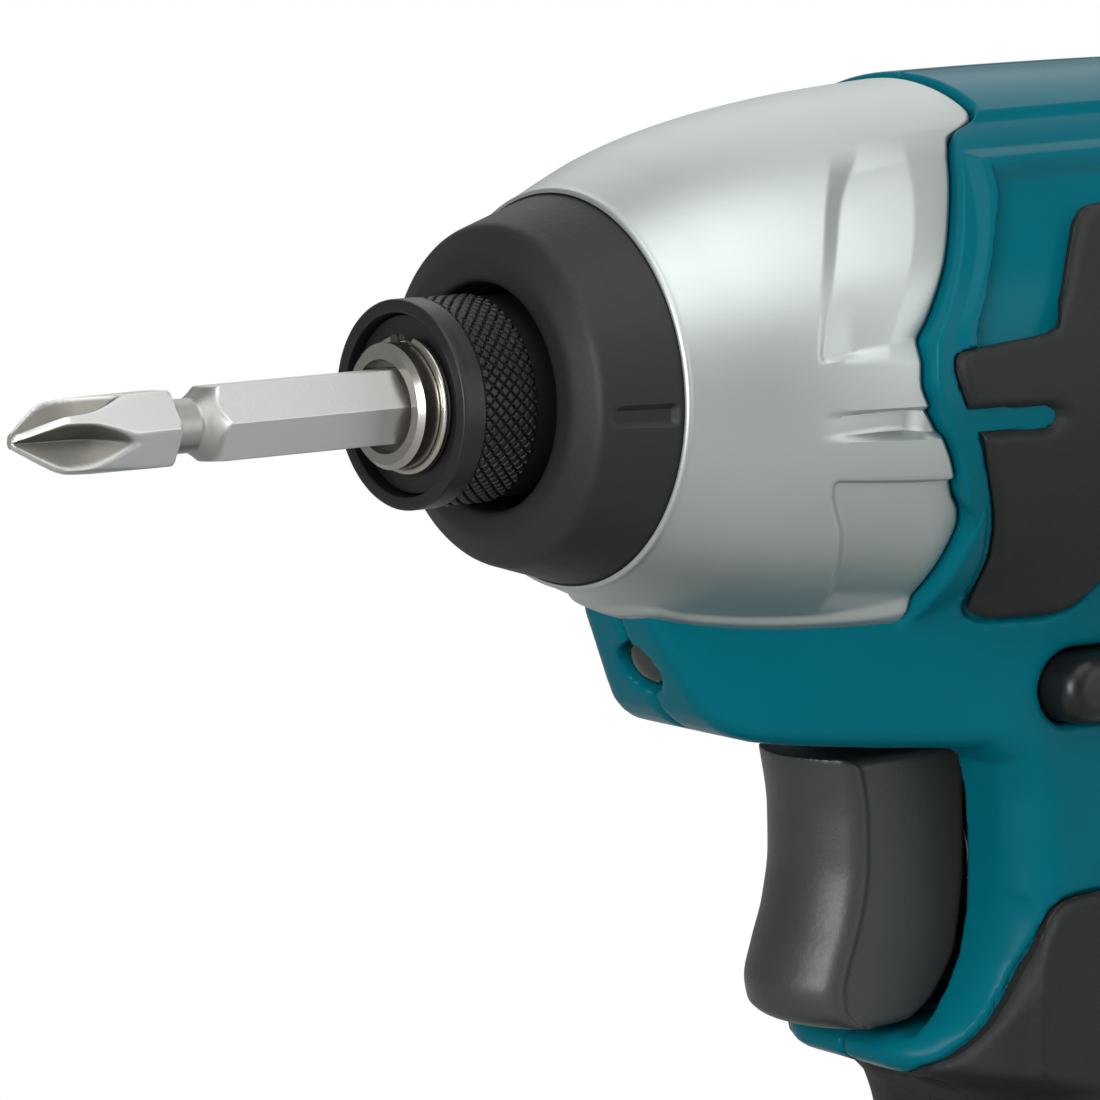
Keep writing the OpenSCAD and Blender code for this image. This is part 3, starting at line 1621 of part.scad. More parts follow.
module battery_board() {
    board_len = cell_pitch * (cell_columns - 2);
    color("#2f5d3a")
        translate([-board_len / 2 - cell_r, -cell_len / 4, board_z])
            cube([board_len, cell_len / 2, board_t]);
}

button_bore_r = button_spring_r + button_wire_r + body_gap;
bore_len_share = 0.6;
button_bore_len = (button_high - button_low) * bore_len_share;
button_mid_x = battery_len / 2 - button_depth / 2;
module battery_button() {
    rear = battery_len / 2 - button_depth;
    color("#b3241f")
        difference() {
            union() {
                block([rear, -button_half_w, button_low], [battery_len / 2, button_half_w, button_high]);
                block([hook_x, -tongue_half_w, tongue_low], [rear + over, tongue_half_w, rail_top]);
                block([hook_x, -tongue_half_w, tongue_low], [hook_x + hook_len, tongue_half_w, rail_top + hook_rise]);
            }
            translate([button_mid_x, 0, button_low - over])
                cylinder(r = button_bore_r, h = over + button_bore_len);
        }
}

module button_spring() {
    low = button_pocket_low + seat_gap;
    color(steel)
        translate([button_mid_x, 0, low])
            helix_spring(button_spring_r, button_wire_r, button_low + button_bore_len - low - seat_gap, 5);
}

module battery_screws() {
    color(dark_steel) {
        battery_posts(battery_screw_r, body_gap, battery_screw_len);
        battery_posts(2 * battery_screw_r - 2 * running_gap, body_gap, battery_head_t);
    }
}

screwdriver_bit();
anvil();
detent_balls();
sleeve_snap_ring();
sleeve_washer();
bit_sleeve();
sleeve_spring();
nose_bumper();
hammer_case();
anvil_bush();
thrust_washer();
hammer();
hammer_spring();
spring_washer();
cam_balls();
spindle();
planet_gear_1();
planet_gear_2();
planet_gear_3();
planet_pins();
ring_gear();
gear_case();
spindle_bearing();
motor_shaft();
rotor_core();
rotor_windings();
commutator();
motor_fan();
front_bearing();
rear_bearing();
stator_can();
stator_magnets();
brush_holder();
carbon_brushes();
housing_left();
housing_right();
rear_cover();
rear_cover_screws();
side_grip_left();
side_grip_right();
handle_grip_left();
handle_grip_right();
trigger();
trigger_spring();
switch_body();
reverse_lever();
led_lens();
led_board();
battery_leads();
terminal_block();
terminal_blades();
housing_screws();
hook_inserts();
battery_lower_case();
battery_upper_case();
battery_cells();
battery_board();
battery_button();
button_spring();
battery_screws();
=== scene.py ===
# %% [markdown]
# # A cordless impact driver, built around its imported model
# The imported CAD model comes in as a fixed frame: every node is in metres and already in its place. This
# lesson keeps that frame and replaces the outer pieces that the eye judges, such as the cast hammer
# case, the moulded housing and the knurled sleeve, with finer surfaces worked out with numpy.

# %% Load the frame
import json

import bpy
import numpy as np
import openvdb
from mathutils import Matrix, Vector

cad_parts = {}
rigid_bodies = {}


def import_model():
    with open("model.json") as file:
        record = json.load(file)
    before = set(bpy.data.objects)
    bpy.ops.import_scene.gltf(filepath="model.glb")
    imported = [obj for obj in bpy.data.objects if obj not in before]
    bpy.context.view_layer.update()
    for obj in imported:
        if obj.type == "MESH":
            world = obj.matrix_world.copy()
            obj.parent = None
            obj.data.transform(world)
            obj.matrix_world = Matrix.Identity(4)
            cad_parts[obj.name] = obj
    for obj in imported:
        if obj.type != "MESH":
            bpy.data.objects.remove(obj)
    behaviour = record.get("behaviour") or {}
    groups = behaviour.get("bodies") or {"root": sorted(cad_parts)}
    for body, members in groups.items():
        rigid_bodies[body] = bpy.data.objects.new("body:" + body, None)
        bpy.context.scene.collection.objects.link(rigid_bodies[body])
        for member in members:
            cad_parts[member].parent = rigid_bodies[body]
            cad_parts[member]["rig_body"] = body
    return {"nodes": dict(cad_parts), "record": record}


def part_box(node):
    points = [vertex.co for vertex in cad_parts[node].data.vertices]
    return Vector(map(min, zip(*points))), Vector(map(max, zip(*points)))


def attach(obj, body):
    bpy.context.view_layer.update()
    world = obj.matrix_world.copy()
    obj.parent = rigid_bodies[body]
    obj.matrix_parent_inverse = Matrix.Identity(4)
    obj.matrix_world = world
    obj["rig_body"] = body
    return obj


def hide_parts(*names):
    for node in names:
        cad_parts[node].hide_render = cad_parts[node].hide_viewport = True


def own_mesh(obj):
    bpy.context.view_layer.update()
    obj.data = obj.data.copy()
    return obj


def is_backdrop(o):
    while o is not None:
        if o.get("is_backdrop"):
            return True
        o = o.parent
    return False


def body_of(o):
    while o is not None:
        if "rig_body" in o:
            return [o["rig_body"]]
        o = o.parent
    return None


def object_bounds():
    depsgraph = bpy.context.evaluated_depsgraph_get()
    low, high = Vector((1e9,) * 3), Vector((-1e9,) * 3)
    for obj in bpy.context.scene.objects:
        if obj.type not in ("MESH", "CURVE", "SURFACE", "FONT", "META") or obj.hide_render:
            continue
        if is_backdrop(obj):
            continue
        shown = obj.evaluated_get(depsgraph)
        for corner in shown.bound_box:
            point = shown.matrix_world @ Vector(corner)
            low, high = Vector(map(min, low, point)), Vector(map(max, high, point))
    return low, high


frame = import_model()
cad_low, cad_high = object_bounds()
MM = 0.001

# %% [markdown]
# ## The tool's own measure
# All shapes are drawn in millimetres from the drive axis: a setback behind the front face of the bit
# sleeve, a distance y to the tool's left, and a height over the axis. The sleeve's own box gives the
# axis and the front face, so nothing here has to be fitted by hand.

# %% Places on the tool
sleeve_low, sleeve_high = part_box("bit_sleeve")
NOSE_X = sleeve_high.x / MM
SIDES = ((1, "left"), (-1, "right"))
AXIS_Z = (sleeve_low.z + sleeve_high.z) / 2 / MM


def spot(setback, y, height):
    """Points in the row frame, in mm: X = nose - setback, Y = y, Z = axis + height."""
    setback, y, height = np.broadcast_arrays(setback, y, height)
    return np.stack([NOSE_X - setback, y, AXIS_Z + height], -1)


def around(setback, radius, degrees):
    """Points on a circle about the drive axis: y = r cos(angle), height = r sin(angle)."""
    angle = np.radians(degrees)
    return spot(setback, radius * np.cos(angle), radius * np.sin(angle))


print("axis", round(AXIS_Z, 2), "mm up, nose", round(NOSE_X, 2), "mm forward")

# %% [markdown]
# ## Curves and outlines
# Measured profiles are lists of a few points. A monotone cubic goes through them without the ripples
# that a plain spline would add, and a signed distance to an outline says how far a point lies inside
# it.

# %% Curve helpers


def curve(xs, ys):
    """Monotone cubic through points: Hermite pieces whose slope at a point is the harmonic mean of the
    chords on both sides, or zero where they turn."""
    xs, ys = np.asarray(xs, float), np.asarray(ys, float)
    step = np.diff(xs)
    chord = np.diff(ys) / step
    same = chord[1:] * chord[:-1] > 0
    both = np.where(same, chord[1:] + chord[:-1], 1.0)
    slope = np.concatenate([chord[:1], np.where(same, 2 * chord[1:] * chord[:-1] / both, 0.0), chord[-1:]])

    def at(x):
        x = np.asarray(x, float)
        k = np.clip(np.searchsorted(xs, x) - 1, 0, len(step) - 1)
        t = np.clip((x - xs[k]) / step[k], 0, 1)
        rise = ys[k + 1] - ys[k]
        blend = t * t * (3 - 2 * t)
        return ys[k] + rise * blend + step[k] * t * (1 - t) * (slope[k] * (1 - t) - slope[k + 1] * t)

    return at


def ramp(low, high, x):
    """Smooth step from 0 at low to 1 at high: t * t * (3 - 2 t)."""
    t = np.clip((x - low) / (high - low), 0, 1)
    return t * t * (3 - 2 * t)


def near_side(degrees):
    """Folds an angle about the axis onto the left side: both sides of the case are alike."""
    folded = (np.asarray(degrees) + 180) % 360 - 180
    return np.where(folded > 90, 180 - folded, np.where(folded < -90, -180 - folded, folded))


def outline_distance(u, v, outline):
    """Signed distance to a closed outline, negative inside: least distance to its edges, with the sign
    from how many edges a ray crosses."""
    points = np.asarray(outline, float)
    u, v = np.broadcast_arrays(np.asarray(u, float), np.asarray(v, float))
    best = np.full(u.shape, 1e9)
    inside = np.zeros(u.shape, bool)
    for (au, av), (bu, bv) in zip(points, np.roll(points, -1, 0)):
        du, dv = bu - au, bv - av
        t = np.clip(((u - au) * du + (v - av) * dv) / (du * du + dv * dv), 0, 1)
        best = np.minimum(best, (u - au - t * du) ** 2 + (v - av - t * dv) ** 2)
        crosses = (av > v) != (bv > v)
        inside ^= crosses & (u < au + (v - av) * du / np.where(dv == 0, 1.0, dv))
    return np.sqrt(best) * np.where(inside, -1, 1)


def rounded_meet(a, b, r):
    """Intersection of two distance fields with a round edge of radius r."""
    a, b = a + r, b + r
    return np.minimum(np.maximum(a, b), 0) + np.hypot(np.maximum(a, 0), np.maximum(b, 0)) - r


def smooth_join(a, b, k):
    """Union of two distance fields with a fillet about k wide."""
    t = np.clip(0.5 + 0.5 * (b - a) / k, 0, 1)
    return b + (a - b) * t - k * t * (1 - t)


# %% [markdown]
# ## Meshes from loops and from fields
# Turned and swept pieces are rows of closed loops: neighbouring loops are joined by quads and the two
# end loops are capped. Moulded forms that flow into each other are distance fields, cut into quads by
# the volume mesher. Both ways give closed meshes whose faces point outwards.

# %% Mesh helpers


def loop_faces(rows, count, periodic):
    """Quads between neighbouring closed loops, with a cap on the first and the last loop if the rows
    don't close on themselves."""
    i = np.arange(rows if periodic else rows - 1)[:, None]
    j = np.arange(count)[None, :]
    here, there = i * count, (i + 1) % rows * count
    ahead = (j + 1) % count
    quads = np.stack([here + j, here + ahead, there + ahead, there + j], -1).reshape(-1, 4).tolist()
    if not periodic:
        last = (rows - 1) * count
        quads += [list(range(count - 1, -1, -1)), list(range(last, last + count))]
    return quads


def enclosed(points, faces):
    """Signed volume of a mesh: the sum over fan triangles of a . (b x c) / 6."""
    total = 0.0
    for size in {len(f) for f in faces}:
        block = points[np.array([f for f in faces if len(f) == size])]
        for k in range(1, size - 1):
            total += np.einsum("ij,ij->", block[:, 0], np.cross(block[:, k], block[:, k + 1])) / 6
    return total


def add_piece(name, points, faces, slot, body, stands_for=(), sharp=32):
    """Puts points in mm into a mesh with the finish of its slot, turns its faces outwards and lets it
    ride on a body."""
    points = np.asarray(points, float).reshape(-1, 3)
    if enclosed(points - points.mean(0), faces) < 0:
        faces = [f[::-1] for f in faces]
    mesh = bpy.data.meshes.new(name)
    mesh.from_pydata((points * MM).tolist(), [], faces)
    mesh.polygons.foreach_set("use_smooth", np.ones(len(mesh.polygons), bool))
    mesh.set_sharp_from_angle(angle=np.radians(sharp))
    mesh.materials.append(FINISH[slot])
    piece = bpy.data.objects.new(name, mesh)
    bpy.context.scene.collection.objects.link(piece)
    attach(piece, body)
    if stands_for:
        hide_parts(*stands_for)
    print(name, len(points), "points", len(faces), "faces")
    return piece


def add_loops(name, loops, periodic, *rest, **more):
    """A piece from an array of closed loops: rows x points x 3."""
    rows, count = loops.shape[:2]
    return add_piece(name, loops, loop_faces(rows, count, periodic), *rest, **more)


def field_mesh(distance, low, high, voxel):
    """Quads where a distance field is zero. The field is a function of setback, y and height arrays,
    sampled on a grid of voxels between two corners."""
    axes = [np.arange(a, b + voxel, voxel) for a, b in zip(low, high)]
    field = distance(axes[0][:, None, None], axes[1][None, :, None], axes[2][None, None, :])
    reach = 4 * voxel
    field = np.clip(field, -reach, reach).astype(np.float32)
    grid = openvdb.FloatGrid(reach)
    grid.copyFromArray(field)
    points, _, quads = grid.convertToPolygons(isovalue=0.0, adaptivity=0.0)
    points = points.astype(float) * voxel + np.asarray(low, float)
    return spot(points[:, 0], points[:, 1], points[:, 2]), quads.tolist()


def add_field(name, distance, low, high, voxel, slot, body, stands_for, side=1):
    """A piece from a distance field, mirrored to the tool's right if side is -1."""
    points, quads = field_mesh(distance, low, high, voxel)
    points[:, 1] *= side
    return add_piece(name, points, quads, slot, body, stands_for, sharp=50)


# %% [markdown]
# ## Finishes
# Each finish starts from what the real surface is: moulded plastic with a spark-eroded grain, soft
# overmoulding, shot-blasted aluminium or bead-blasted steel. Colours are written as sRGB and turned to
# linear. Noise in Object coordinates, at a real size in millimetres, varies colour, gloss and height.

# %% Node helper and colour


def linear(code):
    """sRGB hex to linear: c / 12.92 for dark values, else ((c + 0.055) / 1.055) ** 2.4."""
    c = np.array([int(code[i:i + 2], 16) for i in (1, 3, 5)]) / 255
    c = np.where(c <= 0.04045, c / 12.92, ((c + 0.055) / 1.055) ** 2.4)
    return (*c.tolist(), 1.0)


def add_node(tree, kind, values=None, links=None, **settings):
    """Adds one shader node: its settings, its socket values, and links into its sockets."""
    made = tree.nodes.new("ShaderNode" + kind)
    for key, value in settings.items():
        setattr(made, key, value)
    for name, value in (values or {}).items():
        made.inputs[name].default_value = value
    for name, source in (links or {}).items():
        tree.links.new(source, made.inputs[name])
    return made


def colour_socket(sockets, name):
    """The colour socket of a Mix node, which has sockets of the same name for other kinds of data."""
    return next(s for s in sockets if s.name == name and s.type == "RGBA")


def surface(name, dark, light, gloss, grain_mm, depth_mm, patch_mm=18.0, mark=None, **sockets):
    """A solid finish: colour between two tints in soft patches, roughness between two values, and a
    bump of fine grain. Other shader sockets are set as plain values."""
    material = bpy.data.materials.new(name)
    material.use_nodes = True
    tree = material.node_tree
    shader = tree.nodes["Principled BSDF"]
    where = add_node(tree, "TexCoord").outputs["Object"]
    patches = add_node(tree, "TexNoise", {"Scale": 1 / (patch_mm * MM), "Detail": 3.0}, {"Vector": where})
    grain = add_node(tree, "TexNoise", {"Scale": 1 / (grain_mm * MM), "Detail": 2.0}, {"Vector": where})
    tint = add_node(tree, "Mix", links={"Factor": patches.outputs["Fac"]}, data_type="RGBA")
    colour_socket(tint.inputs, "A").default_value = linear(dark)
    colour_socket(tint.inputs, "B").default_value = linear(light)
    colour = colour_socket(tint.outputs, "Result")
    height = grain.outputs["Fac"]
    rough = add_node(tree, "MapRange", {"To Min": gloss[0], "To Max": gloss[1]}, {"Value": height})
    bump = add_node(tree, "Bump", {"Strength": 1.0, "Distance": depth_mm * MM}, {"Height": height})
    if mark:
        # A point attribute of the mesh darkens the places it marks with painted shade
        place = add_node(tree, "Attribute", attribute_name=mark[0]).outputs["Fac"]
        marked = add_node(tree, "Mix", links={"Factor": place}, data_type="RGBA")
        tree.links.new(colour, colour_socket(marked.inputs, "A"))
        colour_socket(marked.inputs, "B").default_value = linear(mark[1])
        colour = colour_socket(marked.outputs, "Result")
    tree.links.new(colour, shader.inputs["Base Color"])
    tree.links.new(rough.outputs["Result"], shader.inputs["Roughness"])
    tree.links.new(bump.outputs["Normal"], shader.inputs["Normal"])
    for key, value in sockets.items():
        shader.inputs[key.replace("_", " ")].default_value = value
    return material


# %% The finishes of this tool
FINISH = {
    # Moulded ABS, spark-eroded satin: deep colour, faint broad highlights, a fine grain
    "teal_plastic": surface("Moulded teal ABS", "#01525f", "#025d6b", (0.24, 0.28), 0.5, 0.003,
                            Specular_IOR_Level=0.05),
    # Overmoulded thermoplastic elastomer: dull, nearly no highlight
    "soft_grip": surface("Soft elastomer", "#151616", "#1a1b1b", (0.56, 0.68), 0.6, 0.03,
                         Specular_IOR_Level=0.3),
    # Die-cast aluminium, shot blasted: even silver with a fine sparkle
    "case_aluminium": surface("Blasted cast aluminium", "#abb1ae", "#b9bfbc", (0.43, 0.50), 0.3, 0.006,
                              Metallic=1.0),
    # Bead-blasted tool steel: pale grey, dull; painted shade on flutes, painted dark reflection on the neck
    "bit_steel": surface("Bead-blasted tool steel", "#c2c3c0", "#cecfcc", (0.38, 0.48), 0.3, 0.008,
                         mark=("milled", "#75736d"), Metallic=1.0),
    # Ground steel: bright, with clear reflections
    "bright_steel": surface("Ground steel", "#a39f98", "#aeaaa3", (0.24, 0.28), 0.8, 0.0006, Metallic=1.0),
    # Hardened and oiled steel: dark grey with a wet sheen
    "dark_steel": surface("Oiled steel", "#4a4c50", "#5a5c60", (0.28, 0.4), 0.5, 0.006, Metallic=1.0),
    # Black oxide on turned steel: black with a low sheen
    "black_steel": surface("Black oxide steel", "#0c0c0d", "#121213", (0.36, 0.5), 0.4, 0.01,
                           Specular_IOR_Level=0.4),
    # Moulded rubber: charcoal, matt
    "bumper_rubber": surface("Moulded rubber", "#161717", "#1b1c1c", (0.5, 0.62), 0.5, 0.02,
                             Specular_IOR_Level=0.35),
    # Glass-filled nylon: charcoal, satin
    "trigger_plastic": surface("Moulded nylon", "#2a2c2b", "#323433", (0.36, 0.46), 0.5, 0.02,
                               Specular_IOR_Level=0.4),
    # Moulded ABS, black: smooth with a soft highlight
    "black_plastic": surface("Moulded black ABS", "#0d0e0e", "#131414", (0.3, 0.4), 0.5, 0.008,
                             Specular_IOR_Level=0.3),
    # Pressed and sintered bronze, soaked with oil: warm brown, half dull
    "bronze": surface("Sintered bronze", "#8a6a3a", "#9c7a45", (0.35, 0.5), 0.4, 0.01, Metallic=1.0),
    # Turned brass: yellow and bright
    "brass_fitting": surface("Turned brass", "#b08d4a", "#c09c57", (0.2, 0.32), 0.5, 0.006, Metallic=1.0),
    # Enamelled winding wire: reddish, glossy under its lacquer
    "copper_wire": surface("Lacquered copper", "#a5572c", "#b86636", (0.25, 0.4), 0.6, 0.03, Metallic=1.0),
    # Sintered ferrite: near black and dull, like fired clay
    "ferrite": surface("Sintered ferrite", "#26272a", "#303135", (0.5, 0.65), 0.4, 0.01),
    # Cast zinc: mid grey with a soft sheen
    "grey_casting": surface("Cast zinc alloy", "#7b7e80", "#8a8d8f", (0.36, 0.5), 0.5, 0.015, Metallic=1.0),
    # Circuit board under solder mask: even green, half gloss
    "green_board": surface("Solder-masked board", "#14532d", "#1b6237", (0.3, 0.42), 0.8, 0.005),
    # PVC sleeve over a wire: dark red, smooth
    "lead_sleeve": surface("PVC lead", "#7d1414", "#8f1a1a", (0.35, 0.5), 0.8, 0.008),
    # Shrink film on the cells: blue, glossy
    "cell_wrap": surface("Shrink wrap", "#1d4f86", "#235c98", (0.2, 0.32), 2.0, 0.006),
    # Moulded ABS with a coarser grain: charcoal, dull
    "battery_plastic": surface("Moulded charcoal ABS", "#1d1d1f", "#252527", (0.42, 0.56), 0.6, 0.03,
                               IOR=1.5),
    # Moulded ABS, finely finished: black with a little gloss
    "button_plastic": surface("Moulded satin button", "#101011", "#161618", (0.25, 0.36), 0.6, 0.01,
                              IOR=1.5),
    # Clear polycarbonate over a diode: dark with a sharp glint
    "clear_lens": surface("Clear polycarbonate", "#0f1a12", "#18261b", (0.05, 0.08), 1.2, 0.001, IOR=1.58,
                          Transmission_Weight=0.15),
}
slot_of = {part["node"]: part["material_slot"] for part in frame["record"]["subparts"]}
for name, node in frame["nodes"].items():
    node.data.materials.clear()
    node.data.materials.append(FINISH[slot_of[name]])
print(len(FINISH), "finishes on", len(slot_of), "nodes")

# %% [markdown]
# ## Camera, light and floor
# The camera stands where the photograph was taken from: front left and a little above, with a long
# lens. A large soft box above lights the tool, a small one in front and two more behind fill it, and
# the world gives an even grey. Camera rays see a white room, so the picture has a white background
# without more light. Reflections see a fifth of that white, as in a studio with dark corners.

# %% Camera
AZIMUTH, ELEVATION, DISTANCE = np.radians(141.266), np.radians(8.476), 500.0
AIM_SETBACK, AIM_HEIGHT = 16.655, -14.159
FOCAL_SHARE = 5662.894 / 1100
SENSOR = 36.0
back = np.array([np.sin(AZIMUTH) * np.cos(ELEVATION),
                 -np.cos(AZIMUTH) * np.cos(ELEVATION),
                 np.sin(ELEVATION)])
aim = spot(AIM_SETBACK, 0.0, AIM_HEIGHT)
lens = bpy.data.cameras.new("camera")
lens.sensor_width = SENSOR
lens.lens = FOCAL_SHARE * SENSOR
lens.clip_end = 20.0
camera = bpy.data.objects.new("camera", lens)
camera.location = Vector((aim + back * DISTANCE) * MM)
camera.rotation_euler = Vector(-back).to_track_quat("-Z", "Y").to_euler()
bpy.context.scene.collection.objects.link(camera)
bpy.context.scene.camera = camera
bpy.context.scene.view_settings.view_transform = "Standard"
print("lens", round(lens.lens, 2), "mm")

# %% World and lamps
SHINE, LAMP_AIM = 0.2, 40.0


def background_share(tree):
    """How much of the white background a ray sees: all of it straight from the camera or through a
    lens, and a share of it in a reflection."""
    path = add_node(tree, "LightPath").outputs
    direct = add_node(tree, "Math", links={0: path["Is Camera Ray"], 1: path["Is Transmission Ray"]},
                      operation="MAXIMUM")
    shine = add_node(tree, "Math", {1: SHINE}, {0: path["Is Glossy Ray"]}, operation="MULTIPLY")
    either = add_node(tree, "Math", links={0: direct.outputs[0], 1: shine.outputs[0]}, operation="MAXIMUM")
    return either.outputs[0]


world = bpy.data.worlds.new("studio")
bpy.context.scene.world = world
world.use_nodes = True
tree = world.node_tree
seen = background_share(tree)
soft = add_node(tree, "Background", {"Color": linear("#e8ecee"), "Strength": 0.22})
white = add_node(tree, "Background", {"Color": (1, 1, 1, 1), "Strength": 1.0})
either = add_node(tree, "MixShader", links={0: seen, 1: soft.outputs[0], 2: white.outputs[0]})
tree.links.new(either.outputs[0], tree.nodes["World Output"].inputs["Surface"])


def add_lamp(name, place, size, watts):
    """A square soft box at a place in metres, aimed at the tool's head."""
    data = bpy.data.lights.new(name, "AREA")
    data.size = size
    data.energy = watts
    lamp = bpy.data.objects.new(name, data)
    lamp.location = Vector(place)
    towards = Vector(spot(LAMP_AIM, 0.0, 0.0) * MM) - lamp.location
    lamp.rotation_euler = towards.to_track_quat("-Z", "Y").to_euler()
    bpy.context.scene.collection.objects.link(lamp)


add_lamp("key", (0.1, 0.5, 1.2), 1.2, 10.2)
add_lamp("front", (1.0, 0.5, 0.4), 0.5, 11.0)
add_lamp("rear", (-0.7, 1.0, 0.4), 0.8, 3.6)
add_lamp("far", (-0.6, -0.8, 1.1), 1.1, 4.2)

# %% Floor
FLOOR_HALF = 1.6
floor_mesh = bpy.data.meshes.new("floor")
corners = FLOOR_HALF * np.array([(-1, -1), (1, -1), (1, 1), (-1, 1)])
floor_mesh.from_pydata([(x, y, cad_low.z) for x, y in corners], [], [[0, 1, 2, 3]])
floor = bpy.data.objects.new("floor", floor_mesh)
bpy.context.scene.collection.objects.link(floor)
floor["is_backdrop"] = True
floor_paint = bpy.data.materials.new("Pale floor")
floor_paint.use_nodes = True
tree = floor_paint.node_tree
pale = add_node(tree, "BsdfDiffuse", {"Color": linear("#f4f4f2")})
dim = add_node(tree, "BsdfDiffuse", {"Color": linear("#b2b2b1")})
glow = add_node(tree, "Emission", {"Color": (1, 1, 1, 1), "Strength": 1.0})
place = add_node(tree, "TexCoord").outputs["Object"]
spread = add_node(tree, "VectorMath", links={0: place}, operation="LENGTH")
fade = add_node(tree, "MapRange", {"From Min": 0.16, "From Max": 0.42}, {"Value": spread.outputs["Value"]})
seen = background_share(tree)
clear = add_node(tree, "Math", links={0: seen, 1: fade.outputs["Result"]}, operation="MULTIPLY")
matt = add_node(tree, "MixShader", links={0: seen, 1: dim.outputs[0], 2: pale.outputs[0]})
either = add_node(tree, "MixShader", links={0: clear.outputs[0], 1: matt.outputs[0], 2: glow.outputs[0]})
tree.links.new(either.outputs[0], tree.nodes["Material Output"].inputs["Surface"])
floor_mesh.materials.append(floor_paint)

# %% [markdown]
# ## The bit
# A quarter-inch hexagon bar, turned down to a neck groove and a tapered point, with four flutes milled
# into the point. In polar form its radius is the least of three limits: the hexagon, the turned profile
# and the flutes. A soft minimum rounds the edges a little, as blasting does.

# %% Screwdriver bit
BIT_TIP, BIT_TAIL, HEX_FLAT = -40.0, 25.0, 6.35
HEX_CORNER = 5.2
FLUTE_TURN = 79.0
flute_root = curve([-40, -37.2, -34.6, -33.3, -31.8, -30.3, -29, -28.2, -26.5],
                   [0.4, 0.58, 0.74, 0.95, 1.6, 2.5, 3.25, 3.75, 6.0])
turned_limit = curve([-40, -39.8, -39.4, -37.9, -36.3, -35.5, -31, -25.6, -25.1, -24.9, -22.3, -21.9, -20.4,
                      -20.0, 25.0],
                     [0.35, 0.7, 0.95, 2.06, 3.05, 3.28, 3.5, 3.7, 3.5, 2.3, 2.3, 2.5, 3.5, 3.9, 3.9])


def bit_radius(setback, degrees):
    """Soft least of: hexagon a / cos(angle to the nearest flat), turned limit, and flutes a(s) / (cos p
    - |sin p|) about each flute's middle. Also says where the flute faces get painted shade and the neck
    groove and chamfer a painted dark reflection."""
    flat = (degrees - HEX_CORNER) % 60 - 30
    hexagon = HEX_FLAT / 2 / np.cos(np.radians(flat))
    turned = turned_limit(setback)
    from_flute = np.radians((degrees - FLUTE_TURN + 45) % 90 - 45)
    opening = np.cos(from_flute) - 0.93 * np.sqrt(np.sin(from_flute) ** 2 + 0.006)
    flutes = flute_root(setback) / np.maximum(opening, 0.01)
    power, soft = 60.0, 26.0
    shank = (hexagon ** -power + turned ** -power) ** (-1 / power)
    # Painted dark reflection on the neck groove and the hex's chamfer, at 0.6 of full strength
    neck = 0.6 * ramp(-25.2, -24.9, setback) * ramp(-20.3, -20.9, setback)
    # Painted shade on the flute faces, where the flutes fall inside the shank
    cut = np.maximum(ramp(1.0, 0.86, flutes / shank), neck)
    return (shank ** -soft + flutes ** -soft) ** (-1 / soft), cut


setbacks = np.concatenate([np.linspace(BIT_TIP, -30, 110), np.linspace(-29.9, -19.5, 110),
                           np.linspace(-19, 4, 24), [BIT_TAIL]])[:, None]
angles = np.linspace(0, 360, 300, endpoint=False)[None, :]
radius, milled = bit_radius(setbacks, angles)
bit = add_loops("screwdriver_bit_form", around(setbacks, radius, angles), False, "bit_steel", "anvil",
                stands_for=("screwdriver_bit",), sharp=24)
# The painted shade and the painted dark reflection ride on the mesh as a point attribute
bit.data.attributes.new("milled", "FLOAT", "POINT").data.foreach_set("value", milled.ravel())

# %% [markdown]
# ## Sleeve and bumper
# The sleeve is turned steel with a smooth lip and a diamond knurl, two families of crossing grooves
# rolled into the band that the fingers pull. The bumper is a rubber cone round the case's nose, with
# one shallow slot on each side. Both are profiles carried round the drive axis; the relief is added to
# the radius.

# %% Knurled sleeve


def rounded_corners(points, radius, steps=5):
    """Rounds each corner of a closed outline with a quadratic curve that starts a radius away from
    it."""
    points = np.asarray(points, float)
    before, after = np.roll(points, 1, 0) - points, np.roll(points, -1, 0) - points
    ends = []
    for way in (before, after):
        length = np.linalg.norm(way, axis=1)[:, None]
        ends.append((points + way * np.minimum(radius, 0.45 * length) / length)[:, None])
    start, end = ends
    t = np.linspace(0, 1, steps)[None, :, None]
    return ((1 - t) ** 2 * start + 2 * t * (1 - t) * points[:, None] + t ** 2 * end).reshape(-1, 2)


SLEEVE_R, CHAMBER_R, LIP_END, BAND_END, SLEEVE_END = 9.16, 7.95, 2.6, 7.9, 13.6
KNURL_COUNT, KNURL_PITCH, KNURL_DEPTH, KNURL_FLAT = 50, 1.16, 0.36, 0.66
front = rounded_corners([(3.5, CHAMBER_R), (0.0, CHAMBER_R), (0.0, SLEEVE_R), (1.2, SLEEVE_R)], 0.28)
# The outline is open at its two ends, so the roundings there are cut short
front = front[2:-3]
lip = [(1.2, SLEEVE_R), (LIP_END - 0.3, SLEEVE_R), (LIP_END, SLEEVE_R - 0.25)]
band = np.stack([np.linspace(LIP_END + 0.1, BAND_END, 60), np.full(60, SLEEVE_R - 0.05)], -1)
tail = [(BAND_END + 0.3, SLEEVE_R - KNURL_DEPTH), (SLEEVE_END, SLEEVE_R - KNURL_DEPTH), (SLEEVE_END, 6.4),
        (9.0, 6.4), (9.0, CHAMBER_R)]
profile = np.concatenate([front, lip, band, tail])
degrees = np.linspace(0, 360, KNURL_COUNT * 10, endpoint=False)
turn = degrees[:, None] / 360 * KNURL_COUNT
along = profile[None, :, 0] / KNURL_PITCH
grooves = np.maximum(np.abs((turn + along) % 1 - 0.5), np.abs((turn - along) % 1 - 0.5)) * 2
